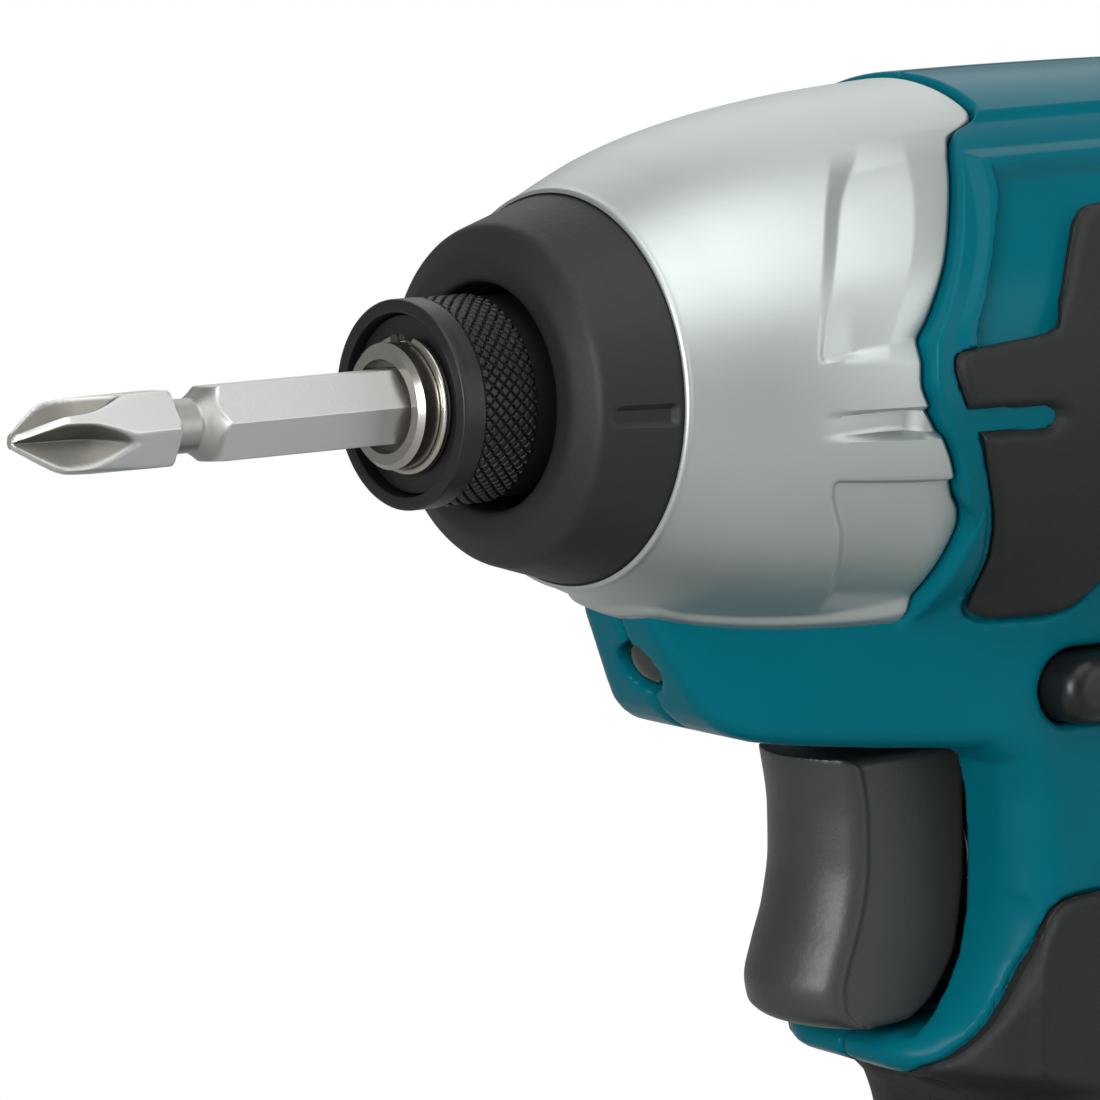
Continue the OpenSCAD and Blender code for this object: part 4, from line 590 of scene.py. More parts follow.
knurled = (profile[:, 0] > LIP_END) & (profile[:, 0] <= BAND_END) & (profile[:, 1] > SLEEVE_R - 0.1)
radius = profile[None, :, 1] - KNURL_DEPTH * knurled * ramp(KNURL_FLAT, 1.0, grooves)
add_loops("bit_sleeve_form", around(profile[None, :, 0], radius, degrees[:, None]), True,
          "black_steel", "bit_sleeve", stands_for=("bit_sleeve",))

# %% Rubber bumper
BUMPER_MOUTH, SLOT_TURN, SLOT_HALF, SLOT_DEPTH = 10.0, 1.8, 2.4, 0.55
bumper = rounded_corners([(14.2, BUMPER_MOUTH), (9.4, BUMPER_MOUTH), (9.0, BUMPER_MOUTH + 0.5), (9.0, 12.4),
                          (10.3, 15.0), (18.2, 17.4), (18.2, 11.53), (14.2, 11.53)], 0.6)
# More points along the cone, for the slots
cone_s = np.linspace(11.0, 17.4, 60)
cone = np.stack([cone_s, 15.0 + (cone_s - 10.3) * 2.4 / 7.9], -1)
cut = np.flatnonzero((bumper[:, 0] > 17.0) & (bumper[:, 1] > 16.0))[0]
bumper = np.concatenate([bumper[:cut], cone, bumper[cut:]])
degrees = np.linspace(0, 360, 400, endpoint=False)
from_slot = np.abs(near_side(degrees) + SLOT_TURN)[:, None]
inside = ramp(SLOT_HALF + 0.9, SLOT_HALF - 0.3, from_slot) * ramp(10.9, 12.6, bumper[None, :, 0])
inside = inside * ramp(17.3, 16.7, bumper[None, :, 0]) * (bumper[None, :, 1] > 14.9)
radius = bumper[None, :, 1] - SLOT_DEPTH * inside
add_loops("nose_bumper_form", around(bumper[None, :, 0], radius, degrees[:, None]), True,
          "bumper_rubber", "housing", stands_for=("nose_bumper",))

# %% [markdown]
# ## The hammer case
# The case is an aluminium die casting: a bell that swells from the bumper to the housing and ends in a
# wavy edge. It is a grid in setback and angle whose last column follows that edge, so the edge is
# clean. Panels, a ledge and a slot are pressed into it as smooth steps of about a millimetre.

# %% Case profile and edge
case_r = curve([18.1, 22, 26, 32, 39, 47, 58, 64], [17.82, 19.48, 21.03, 22.69, 24.03, 25.06, 25.89, 26.2])
# Rear edge as (angle, setback), from the underside up to the top
EDGE = np.array([
    (-90, 47.0), (-62, 46.8), (-45, 46.7), (-32, 46.6), (-27, 46.0), (-23.2, 44.8), (-13, 42.7),
    (-3.4, 40.3), (3.2, 39.2), (10.9, 39.5), (16.7, 41.1), (27.9, 44.1), (38.5, 46.7), (48.8, 49.3),
    (55.5, 51.0), (58.3, 51.8), (60.5, 54.0), (62.5, 55.6), (66, 56.6), (74, 57.0), (90, 57.4)])
edge_of = curve(EDGE[:, 0], EDGE[:, 1])
# The window pressed into each flank: where its left wall starts and ends, and where its rim starts
wall_start = curve([-90, 9, 13.4, 21.3, 32.2, 42.7, 48.2, 56.6, 90],
                   [28.8, 29.0, 29.2, 30.0, 31.7, 33.8, 35.2, 37.6, 46.0])
wall_end = curve([-90, 9, 15.1, 24.8, 34.7, 44.1, 50.6, 56.6, 90],
                 [29.4, 29.7, 30.2, 31.7, 33.7, 35.9, 38.1, 40.6, 49.0])
rim_start = curve([-90, 9, 12.5, 17.9, 24.3, 33.7, 42.9, 51.2, 90],
                  [35.6, 36.0, 36.6, 37.7, 39.2, 41.4, 43.4, 45.0, 52.0])
lower_left = curve([-90, -53.6, -45.7, -33, -19.8, 90], [38.0, 37.0, 36.0, 34.1, 31.6, 31.0])
lower_facet = curve([-90, -39, -19.4, 90], [48.0, 43.6, 40.2, 40.0])


def case_relief(setback, degrees):
    """Depth in mm under the smooth bell: a window with a sloped left wall, a floor that rises to a
    crease, a rim that falls to the edge, and a ledge below a scoop; a slot that deepens to the rear; a
    lower panel behind a step. Each is a product of straight or smooth ramps in setback and angle."""
    side = near_side(degrees)
    start, end, crease = wall_start(side), wall_end(side), rim_start(side)
    wall = 0.5 * np.clip((setback - start) / (end - start), 0, 1)
    floor = 0.22 * np.clip((setback - end) / (crease - end), 0, 1)
    rim = 0.34 * np.clip((setback - crease) / (edge_of(side) - crease), 0, 1)
    scoop = 0.45 * ramp(30, 11, side) * ramp(0, 1, (setback - start) / 4.0)
    ledge_low = 9.2 - 0.21 * (setback - 30)
    ledge_high = 10.2 + 0.24 * (setback - 30)
    window = wall * (1 - 0.5 * ramp(40, 14, side)) - floor + rim + scoop
    window = window * np.clip((60.6 - side) / 7.4, 0, 1)
    window = window * np.clip((side - ledge_low) / (ledge_high - ledge_low), 0, 1)
    slot = ramp(28.5, 38.0, setback) * ramp(-9.0, -7.4, side) * ramp(-2.0, -3.3, side)
    slot = slot * (1 - 0.6 * ramp(38.2, 40.4, setback))
    behind = setback - lower_left(side)
    lower = ramp(-0.7, 0.6, behind) * ramp(-17.6, -19.6, side) * ramp(-60.0, -51.0, side)
    facet = np.maximum(setback - lower_facet(side), 0) * ramp(-17.6, -19.6, side)
    return 1.15 * window + 1.6 * slot + 0.7 * lower + 0.07 * facet


# %% [markdown]
# ## The housing
# Two moulded halves meet on the middle plane. The motor barrel is a turned shell whose front follows
# the case's edge. Chin, neck, handle and foot are one flowing form: an outline in side view, blown up
# to a half width with a round edge, as a distance field. A fillet joins it to the barrel, and the
# mesher turns it into quads.

# %% Barrel shell
BARREL_END, BARREL_WALL, SEAM, LIP_ROUND, BED_DEPTH = 121.0, 3.4, 0.35, 0.5, 1.1
barrel_r = curve([38.85, 55.2, 71.7, 84.0, 98.0, 111.1, 121.0],
                 [25.9, 26.3, 26.62, 26.7, 26.54, 26.06, 25.37])
# Pairs of places, front and rear, that a side grip is ruled between: setback and height
GRIP_PAIRS = np.array([
    (64.0, 15.5, 108, 14.0), (61.0, 15.1, 112, 12.8), (59.3, 14.2, 113.6, 11.4),
    (57.7, 12.4, 114.2, 10.0), (54.6, 7.4, 114.5, 7.4), (53.0, 4.9, 114.5, 5.4),
    (47.0, 4.2, 114.5, 4.6), (43.0, 3.9, 114.5, 4.0), (41.8, 3.5, 114.5, 3.5), (41.6, 2.6, 114.5, 2.6),
    (42.1, 0.8, 114.5, 0.8), (43.0, -1.0, 114.5, -0.8), (44.5, -3.3, 114.5, -3.0),
    (46.2, -7.0, 114.5, -6.0), (47.5, -9.5, 114.0, -7.8), (48.8, -12.1, 113.0, -9.6),
    (49.8, -14.4, 109.0, -11.4), (50.3, -15.6, 92.0, -12.6), (50.6, -16.6, 74.0, -13.8),
    (51.0, -18.0, 67.2, -16.6), (51.4, -19.4, 65.0, -19.2), (51.7, -20.6, 63.9, -20.8),
    (52.5, -21.5, 62.6, -21.7), (54.2, -22.0, 60.5, -22.1)])
GRIP_OUTLINE = np.concatenate([GRIP_PAIRS[:, :2], GRIP_PAIRS[::-1, 2:]])
SLOT_OUTLINE = [(36, -0.7), (52.4, -1.4), (53.5, -1.9), (53.9, -2.7), (53.4, -3.5), (52.4, -3.9),
                (36, -3.3)]
panel_outer = curve([0, 10.9, 20.9, 32.3, 51.2, 90], [42.0, 42.4, 45.0, 48.0, 51.4, 55.0])
panel_inner = curve([0, 10.5, 20.6, 31.9, 43.7, 90], [44.6, 45.0, 46.9, 49.9, 53.3, 57.0])


def grip_distance(setback, height, outline):
    """Distance to a grip's outline with the open slot in its front edge left out."""
    slot = outline_distance(setback, height, SLOT_OUTLINE)
    return np.maximum(outline_distance(setback, height, outline), -slot)


def barrel_relief(setback, degrees):
    """Depth in mm under the smooth barrel: the side below the roof's edge with a fine bead on it, a
    panel over the grip that sinks behind a raised frame, and the grip's own bed."""
    height = barrel_r(setback) * np.sin(np.radians(degrees))
    side = ramp(63.6, 60.4, degrees)
    inwards = (setback - panel_outer(degrees)) / (panel_inner(degrees) - panel_outer(degrees))
    inwards = np.minimum((inwards + 0.25) / 1.3, (52.4 - degrees) / 7.2)
    panel = 1.3 * np.clip((inwards - 0.68) / 0.34, 0, 1) - 0.35 * np.clip(inwards / 0.45, 0, 1)
    panel = panel * ramp(8.0, 10.0, degrees) * ramp(114, 111, setback)
    bead = 0.14 * np.exp(-((degrees - 63.9) / 1.1) ** 2)
    bed = grip_distance(setback, height, GRIP_OUTLINE)
    return np.maximum(0.45 * side + panel - bead, BED_DEPTH * ramp(0.4, -0.1, bed))


def barrel_loops(side):
    """Shell of one half: outer grid from the case's edge to the rear, a round front lip, and the inner
    wall."""
    degrees = np.linspace(-66, 90 - 0.15, 310)[:, None]
    share = np.linspace(0, 1, 215)[None, :] ** 1.35
    start = edge_of(degrees) + SEAM + LIP_ROUND
    setback = start + share * (BARREL_END - start)
    outer = barrel_r(setback) - barrel_relief(setback, degrees)
    seam_dip = 0.35 * ramp(89.3, 90.0, degrees)
    bend = np.radians(np.linspace(90, 10, 6))[None, :]
    lip_s = start - LIP_ROUND * np.sin(bend)
    lip_r = outer[:, :1] - LIP_ROUND * (1 - np.cos(bend))
    front = start - LIP_ROUND
    inner_s = np.concatenate([front + share[:, ::-23] * (BARREL_END - start + LIP_ROUND), front], 1)
    inner_r = barrel_r(inner_s) - BARREL_WALL
    angles = degrees if side > 0 else 180 - degrees
    return around(np.concatenate([lip_s, setback, inner_s], 1),
                  np.concatenate([lip_r, outer, inner_r], 1) - seam_dip, angles)


for side, word in SIDES:
    add_loops("barrel_" + word, barrel_loops(side), False, "teal_plastic", "housing",
              stands_for=("housing_" + word,))

# %% Lower housing as a field
HOUSING_OUTLINE = [
    (23.6, -12.0), (23.8, -19.5), (24.4, -21.4), (26.3, -25.0), (27.9, -27.8), (29.2, -29.8),
    (30.6, -31.0), (32.0, -31.8), (34, -32.4), (38, -33.0), (46, -33.8), (51, -34.2), (56.4, -34.8),
    (58.6, -36.4), (59.6, -40), (60.0, -46), (59.9, -51), (59.1, -55.0), (57.6, -58), (55.8, -60.4),
    (53.9, -61.9), (52.2, -62.7), (51.3, -63.7), (51.7, -65.0), (53.6, -66.0), (57, -67.0),
    (60.5, -68.4), (62.6, -71), (63.6, -75), (64, -80), (64.2, -90), (65, -104), (66.2, -119),
    (67.4, -132), (66, -141), (60, -147.5), (55.4, -150.6), (54.5, -153.5), (54.5, -162.6),
    (140.5, -162.6), (140.5, -153.5), (139, -150.6), (128, -147.5), (114, -143), (106.6, -136),
    (103.6, -124), (101, -108), (99.3, -92), (98.6, -76), (98.8, -60), (100.3, -48), (104, -37),
    (110, -29), (116.5, -24.5), (119, -20), (119, -8), (52, -8), (40, -9)]
chin_w = curve([18, 24, 26, 30, 34.5, 39, 46.5, 55, 62, 75, 150],
               [4.0, 5.0, 5.6, 7.4, 9.2, 10.8, 13.0, 15.0, 16.3, 17, 17])
handle_w = curve([0, 40, 58, 89, 119, 138], [17.2, 17.0, 16.2, 16.3, 16.8, 17.6])
lip_w = curve([44, 50, 52, 55, 58, 62, 70], [5.0, 6.0, 8.2, 11.2, 13.8, 16.4, 30.0])
front_round = curve([8, 24, 30, 33, 36, 40, 56, 59, 62, 65, 67, 69, 74, 138, 146, 165],
                    [1.1, 1.1, 1.3, 2.2, 3.2, 4.2, 4.2, 3.4, 2.2, 2.6, 6.5, 11.0, 13.0, 12.5, 5.0, 4.0])
rear_round = curve([8, 30, 45, 60, 138, 146, 165], [6.0, 8.0, 11.0, 13.0, 13.0, 5.0, 4.0])
FOOT_HALF_W = 35.0


def lower_field(setback, y, height):
    """Distance to chin, neck, handle and foot together: the side outline meets the half width with a
    round edge whose radius changes along the form."""
    drop = -height
    inside = outline_distance(setback, height, HOUSING_OUTLINE)
    lip = lip_w(setback) + 20 * ramp(50, 38, drop)
    wide = np.minimum(np.minimum(chin_w(setback), handle_w(drop)), lip)
    wide = wide + (FOOT_HALF_W - wide) * ramp(137.5, 150.0, drop)
    soft = front_round(drop) + (rear_round(drop) - front_round(drop)) * ramp(68, 88, setback)
    return rounded_meet(inside, np.abs(y) - wide, soft)


def housing_field(setback, y, height, barrel_cut=0.0, front=46.9):
    """Lower form joined to the barrel by a fillet."""
    barrel = np.hypot(y, height) - barrel_r(setback) + barrel_cut
    barrel = np.maximum(barrel, np.maximum(front - setback, setback - 120.0))
    return smooth_join(lower_field(setback, y, height), barrel, 7.0 * ramp(44, 56, setback) + 0.3)


# %% Hammer case
CASE_FRONT, CASE_WALL, EDGE_ROUND, NOSE_ROUND = 18.0, 3.4, 0.55, 0.45
# A small flange where the case sits on the chin
FLANGE, FLANGE_W = 0.55, 0.7
degrees = np.linspace(-180, 180, 560, endpoint=False)[:, None]
share = np.linspace(0, 1, 128)[None, :]
end = edge_of(near_side(degrees)) - EDGE_ROUND
setback = CASE_FRONT + share * (end - CASE_FRONT)
outer_r = case_r(setback) - case_relief(setback, degrees)
half_y = outer_r * np.cos(np.radians(near_side(degrees)))
beside = lower_field(setback, half_y, outer_r * np.sin(np.radians(degrees)))
outer_r = outer_r + FLANGE * ramp(FLANGE_W + 1.1, FLANGE_W, beside)
bend = np.radians(np.linspace(8, 90, 7))[None, :]
lip_s = end + EDGE_ROUND * np.sin(bend)
lip_r = outer_r[:, -1:] - EDGE_ROUND * (1 - np.cos(bend))
inner_s = np.concatenate([end + EDGE_ROUND + 0 * share[:, :1],
                          CASE_FRONT + share[:, ::-16] * (end - CASE_FRONT)], 1)
inner_r = case_r(inner_s) - CASE_WALL
nose_s = CASE_FRONT - NOSE_ROUND * np.sin(bend[:, ::-1]) + 0 * end
nose_r = outer_r[:, :1] - NOSE_ROUND * (1 - np.cos(bend[:, ::-1]))
loops = around(np.concatenate([nose_s, setback, lip_s, inner_s], 1),
               np.concatenate([nose_r, outer_r, lip_r, inner_r], 1), degrees)
add_loops("hammer_case_form", loops, True, "case_aluminium", "housing",
          stands_for=("hammer_case",))

# %% Grips' outlines and the surface they lie on
HANDLE_PAIRS = np.array([
    (72.0, -49.2, 92.0, -44.0), (67.0, -49.2, 98.2, -47.0), (64.6, -49.5, 99.8, -51.0),
    (63.3, -50.3, 99.2, -54.5), (62.4, -52.0, 98.9, -58.5), (61.1, -55.2, 98.7, -62.5),
    (60.0, -57.5, 98.6, -66.0), (58.6, -59.8, 98.6, -69.0), (57.0, -62.0, 98.6, -71.5),
    (55.3, -63.8, 98.6, -73.2), (53.9, -65.0, 98.6, -74.6), (54.3, -66.2, 98.6, -76.0),
    (57.0, -67.1, 98.7, -78.0), (60.4, -68.5, 98.7, -80.0), (62.5, -71.2, 98.8, -82.0),
    (63.6, -75.5, 99.0, -86.0), (64.2, -90.0, 99.7, -96.0), (65.0, -104.0, 101.0, -108.0),
    (66.2, -119.0, 103.6, -124.0), (67.3, -131.0, 105.6, -133.0), (69.5, -135.5, 104.5, -136.5),
    (74.0, -138.0, 99.0, -138.5)])
WRAP_TOP, WRAP_LOW, WRAP_REAR_TOP, WRAP_PAST = -67.8, -132.0, -46.5, 5.0
front_wraps = (HANDLE_PAIRS[:, 1] < WRAP_TOP) & (HANDLE_PAIRS[:, 1] > WRAP_LOW)
rear_wraps = (HANDLE_PAIRS[:, 3] < WRAP_REAR_TOP) & (HANDLE_PAIRS[:, 3] > WRAP_LOW - 2)
# Where the grip goes round the handle its bed runs past the outline
HANDLE_OUTLINE = np.concatenate([HANDLE_PAIRS[:, :2] - np.outer(front_wraps, (WRAP_PAST, 0)),
                                 (HANDLE_PAIRS[:, 2:] + np.outer(rear_wraps, (WRAP_PAST, 0)))[::-1]])


def surface_y(setback, height, reach=45.0):
    """Half width of the housing at a place in side view: the y where its field is zero, by
    bisection."""
    low = np.zeros(np.broadcast(setback, height).shape)
    high = low + reach
    for _ in range(22):
        middle = (low + high) / 2
        within = housing_field(setback, middle, height, front=38.0) < 0
        low, high = np.where(within, middle, low), np.where(within, high, middle)
    return low


LENS_SETBACK, LENS_HEIGHT, LENS_TILT = 27.3, -25.7, np.radians(28.0)
LEVER_SETBACK, LEVER_HEIGHT = 66.9, -29.4
# Openings in the housing, in mm: ends and middles from the nose and the axis, half widths, radii, depths
TRIGGER_ROOM_END, TRIGGER_ROOM_MIDDLE, TRIGGER_ROOM_HALF_H, TRIGGER_ROOM_HALF_W = 72, -48.6, 13.6, 7.5
LEVER_SLOT_STRAIGHT, LEVER_SLOT_R, LENS_HOLE_R, LENS_HOLE_DEPTH = 2.1, 3.65, 2.6, 6
RAIL_ROOM_HALF_W, RAIL_ROOM_TOP, RAIL_ROOM_END = 24.4, -153.9, 135.9
FLANGE_ROOM_HALF_W, FLANGE_ROOM_MIDDLE, FLANGE_ROOM_HALF_H = 28.4, -156.4, 2.4
CASE_SEAT_END, CASE_SEAT, NECK_TOP, NECK_LOW, HANDLE_TOP = 47.5, 1.3, -8.0, -79.0, -77.0
SCREW_HOLE_R, SCREW_HOLE_FLOOR = 3.4, 9.0
SCREW_PLACES = [(48.4, -28.5), (104.1, -33.0), (70.2, -79.5), (73.8, -111.0), (96.8, -142.5),
                (66.0, -150.0)]


def light_axis(setback, height):
    """Distances along and across the light's axis: the side view turned by the tilt."""
    ahead, up = LENS_SETBACK - setback, height - LENS_HEIGHT
    along = ahead * np.cos(LENS_TILT) - up * np.sin(LENS_TILT)
    return along, ahead * np.sin(LENS_TILT) + up * np.cos(LENS_TILT)


def half_field(side, low_part):
    """Field of one half: beds for the grips, trigger pocket, lever slot, lens hole and screw holes
    taken out."""

    def distance(setback, y, height):
        form = housing_field(setback, y, height, 0.25)
        for outline in (GRIP_OUTLINE, HANDLE_OUTLINE):
            form = form + BED_DEPTH * ramp(0.75, -0.1, grip_distance(setback, height, outline))
        # Room inside the barrel and the case
        bore = np.where(setback < CASE_SEAT_END, case_r(setback) - CASE_SEAT,
                        barrel_r(setback) - BARREL_WALL)
        form = np.maximum(form, bore - np.hypot(y, height))
        pocket = np.maximum(setback - TRIGGER_ROOM_END, np.abs(y) - TRIGGER_ROOM_HALF_W)
        pocket = np.maximum(pocket, np.abs(height - TRIGGER_ROOM_MIDDLE) - TRIGGER_ROOM_HALF_H)
        form = rounded_meet(form, -pocket, 0.6)
        from_lever = np.maximum(np.abs(setback - LEVER_SETBACK) - LEVER_SLOT_STRAIGHT, 0)
        form = rounded_meet(form, LEVER_SLOT_R - np.hypot(from_lever, height - LEVER_HEIGHT), 0.6)
        out, across = light_axis(setback, height)
        hole = np.maximum(np.hypot(across, y) - LENS_HOLE_R, -LENS_HOLE_DEPTH - out)
        form = rounded_meet(form, -hole, 0.25)
        if side < 0:
            for s, h in SCREW_PLACES:
                hole = np.maximum(np.hypot(setback - s, height - h) - SCREW_HOLE_R, SCREW_HOLE_FLOOR - y)
                form = np.maximum(form, -hole)
        if low_part:
            # Channel of the battery's rails, open to the front
            rail = np.maximum(np.abs(y) - RAIL_ROOM_HALF_W, height - RAIL_ROOM_TOP)
            flange = np.abs(height - FLANGE_ROOM_MIDDLE) - FLANGE_ROOM_HALF_H
            flange = np.maximum(np.abs(y) - FLANGE_ROOM_HALF_W, flange)
            form = np.maximum(form, -np.maximum(np.minimum(rail, flange), setback - RAIL_ROOM_END))
            form = np.maximum(form, height - HANDLE_TOP)
        else:
            form = np.maximum(np.maximum(form, height - NECK_TOP), NECK_LOW - height)
        # The halves meet on the middle plane in a fine groove
        return np.maximum(form, np.maximum(0.01 - y, (form - y + 0.5) * 0.7))

    return distance


for side, word in SIDES:
    for name, low, high, voxel in (("neck_", (17.5, -0.6, -80.5), (121.5, 26.5, -6.8), 0.45),
                                   ("handle_", (52, -0.9, -164.5), (143, 37.5, -75.5), 0.72)):
        add_field(name + word, half_field(side, name == "handle_"), low, high, voxel, "teal_plastic",
                  "housing", ("housing_" + word,), side)

# %% [markdown]
# ## Soft grips
# The dark grips are elastomer moulded over the housing. Each is ruled between a front and a rear
# outline in side view, laid on the housing's surface and raised by half a millimetre, with a rolled
# edge that dips into its bed.

# %% Grip pieces
GRIP_PROUD, GRIP_ROLL, GRIP_THICK, MID_GAP = 0.5, 0.8, 1.4, 0.01


def ruled(pairs, rows, columns):
    """Grid between two curves: each row joins a front place to its rear place, closer together at the
    ends."""
    way = np.concatenate([[0], np.cumsum(np.hypot(*np.diff(pairs[:, :2], axis=0).T)
                                         + 0.35 * np.hypot(*np.diff(pairs[:, 2:], axis=0).T))])
    v = np.linspace(0, way[-1], rows)
    ends = np.stack([curve(way, pairs[:, k])(v) for k in range(4)], -1)
    t = (0.5 - 0.5 * np.cos(np.linspace(0, np.pi, columns)))[None, :]
    return ends[:, :1] + t * (ends[:, 2:3] - ends[:, :1]), ends[:, 1:2] + t * (ends[:, 3:] - ends[:, 1:2])


def grip_loops(pairs, outline, rows, columns, wraps):
    """Loops of one grip: the raised face with rolled edges, then its underside. Where the grip goes
    round the handle, extra columns carry it from the side to the middle plane."""
    setback, height = ruled(pairs, rows, columns)
    first, last = setback[:, :1], setback[:, -1:]
    face = surface_y(np.clip(setback, first + 0.05, last - 0.05), height)
    depth = -grip_distance(setback, height, outline)
    edge = GRIP_ROLL - np.clip(depth, 0, GRIP_ROLL)
    roll = GRIP_ROLL - np.sqrt(np.maximum(GRIP_ROLL ** 2 - edge ** 2, 0))
    raised = face + GRIP_PROUD - roll - 0.6 * ramp(0.0, -0.5, depth)
    if wraps:
        share = np.linspace(0, 1, 10, endpoint=False)[None, :]
        ahead = (height[:, :1] < WRAP_TOP) & (height[:, :1] > WRAP_LOW)
        behind = (height[:, -1:] < WRAP_REAR_TOP) & (height[:, -1:] > WRAP_LOW - 2)
        front_low = np.where(ahead, MID_GAP, raised[:, :1] - 1.0)
        rear_low = np.where(behind, MID_GAP, raised[:, -1:] - 1.0)
        front_y = front_low + share * (raised[:, :1] - front_low)
        rear_y = (rear_low + share * (raised[:, -1:] - rear_low))[:, ::-1]
        setback = np.concatenate([first + 0 * share, setback, last + 0 * share], 1)
        height = np.concatenate([height[:, :1] + 0 * share, height, height[:, -1:] + 0 * share], 1)
        raised = np.concatenate([front_y, raised, rear_y], 1)
    raised = np.maximum(raised, MID_GAP)
    under = np.maximum(raised - GRIP_THICK, MID_GAP / 2)
    under = spot(np.clip(setback, first + 0.9, last - 0.9), under, height)
    return np.concatenate([spot(setback, raised, height), under[:, ::-1]], 1)


GRIPS = (("side_grip_", GRIP_PAIRS, GRIP_OUTLINE, (210, 116), False),
         ("handle_grip_", HANDLE_PAIRS, HANDLE_OUTLINE, (210, 84), True))
for side, word in SIDES:
    for name, pairs, outline, size, wraps in GRIPS:
        loops = grip_loops(pairs, outline, *size, wraps)
        loops[..., 1] *= side
        add_loops(name + word + "_form", loops, False, "soft_grip", "housing",
                  stands_for=(name + word,), sharp=60)

# %% [markdown]
# ## Trigger, reversing lever and light
# The trigger is a hook for one finger: its front is bowed across and concave from top to toe, and its
# flanks are flat. The lever is a small rounded bar that passes through the neck from side to side. The
# light's lens is a clear rod with a shallow dome, set in the chin and tilted.

# %% Trigger
TRIGGER_HALF_W, TRIGGER_BOW, TRIGGER_TOP, TRIGGER_TOE, PAD_DEPTH = 7.0, 14.0, -35.8, -61.3, 4.2
spring_low, spring_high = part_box("trigger_spring")
PLUNGER_HEIGHT = (spring_low.z + spring_high.z) / 2 / MM - AXIS_Z
POCKET_R = (spring_high.z - spring_low.z) / 2 / MM + 0.4
POCKET_FRONT = NOSE_X - spring_high.x / MM - 0.1
trigger_front = curve([-61.5, -61, -60.2, -59.4, -57.3, -54.2, -50.3, -45.6, -41.6, -35],
                      [49.0, 45.2, 43.4, 42.6, 42.2, 43.0, 44.3, 45.0, 44.9, 43.7])
trigger_rear = curve([-61.8, -60.8, -59, -54.4, -46.5, -38, -35],
                     [51.5, 55.2, 57.8, 60.6, 61.5, 61.3, 60.9])


def trigger_field(setback, y, height):
    """A bowed finger pad, s = front(h) + y^2 / bow, on a flat-sided body 0.8 mm narrower on each side,
    with a round pocket behind for the spring."""
    bow = y * y / TRIGGER_BOW
    front = trigger_front(height) + bow - setback
    ends = np.maximum(height - TRIGGER_TOP, TRIGGER_TOE - height)
    inside = np.maximum(np.maximum(front * 0.9, setback - trigger_rear(height)), ends)
    pad = rounded_meet(inside, setback - trigger_front(height) - PAD_DEPTH, 1.5)
    pad = rounded_meet(pad, np.abs(y) - TRIGGER_HALF_W, 1.5)
    body = rounded_meet(inside, np.abs(y) - TRIGGER_HALF_W + 0.8, 0.8)
    pocket = np.maximum(np.hypot(y, height - PLUNGER_HEIGHT) - POCKET_R, POCKET_FRONT - setback)
    return np.maximum(smooth_join(pad, body, 0.5), -pocket)


add_field("trigger_form", trigger_field, (40, -8, -62.5), (62.5, 8, -34.5), 0.25, "trigger_plastic",
          "trigger", ("trigger",))

# %% Reversing lever
LEVER_HALF, LEVER_REACH, LEVER_ROUND = (5.4, 3.3), 20.0, 1.8


def lever_loops():
    """A stadium outline carried across the tool, drawn in towards both ends by a quarter circle."""
    angle = np.linspace(0, 2 * np.pi, 72, endpoint=False)
    straight = LEVER_HALF[0] - LEVER_HALF[1]
    u = np.clip(np.cos(angle) * LEVER_HALF[0] * 1.6, -straight, straight)
    outline = np.stack([u + LEVER_HALF[1] * np.cos(angle), LEVER_HALF[1] * np.sin(angle)], -1)
    bend = np.linspace(0, np.pi / 2, 9)
    inset = LEVER_ROUND * (1 - np.sin(bend))
    y = np.concatenate([inset[::-1] - LEVER_REACH, LEVER_REACH - inset])
    draw = LEVER_ROUND * (1 - np.cos(np.concatenate([bend[::-1], bend])))
    flat = outline[None] * (1 - draw[:, None, None] / np.array(LEVER_HALF))
    return spot(LEVER_SETBACK + flat[..., 0], y[:, None], LEVER_HEIGHT + flat[..., 1])


add_loops("reverse_lever_form", lever_loops(), False, "black_plastic", "reverse_lever",
          stands_for=("reverse_lever",), sharp=60)

# %% Light's lens
LENS_R, LENS_BACK, LENS_PROUD, LENS_DOME = 2.4, 3.4, 0.25, 0.13


def lens_field(setback, y, height):
    """A short rod along the tilted light axis, closed by a shallow dome."""
    out, across = light_axis(setback, height)
    ring = np.hypot(across, y)
    rod = np.maximum(ring - LENS_R, -LENS_BACK - out)
    return rounded_meet(rod, out - LENS_PROUD + LENS_DOME * ring ** 2, 0.3)


add_field("led_lens_form", lens_field, (23.5, -3.2, -31.5), (33.5, 3.2, -20.5), 0.12, "clear_lens",
          "housing", ("led_lens",))

# %% [markdown]
# ## Rear cover
# The cover closes the barrel behind the motor. It is a turned cup with a broad round edge, a dished
# middle, a row of vents on each flank and two wells for its screws. As a distance field the vents and
# wells are simply taken away, and their rims come out rounded.

# %% Rear cover
COVER_FRONT, COVER_END, COVER_R, COVER_ROUND = 121.15, 135.2, 25.3, 9.0
VENT_FRONT, VENT_END, VENT_HALF_W, VENT_DEPTH = 123.6, 129.2, 1.25, 5.6
VENT_TURNS = np.arange(30, 151, 20)
COVER_SCREW_Y, COVER_WELL_R, COVER_WELL_FLOOR = 15.5, 3.35, 131.6


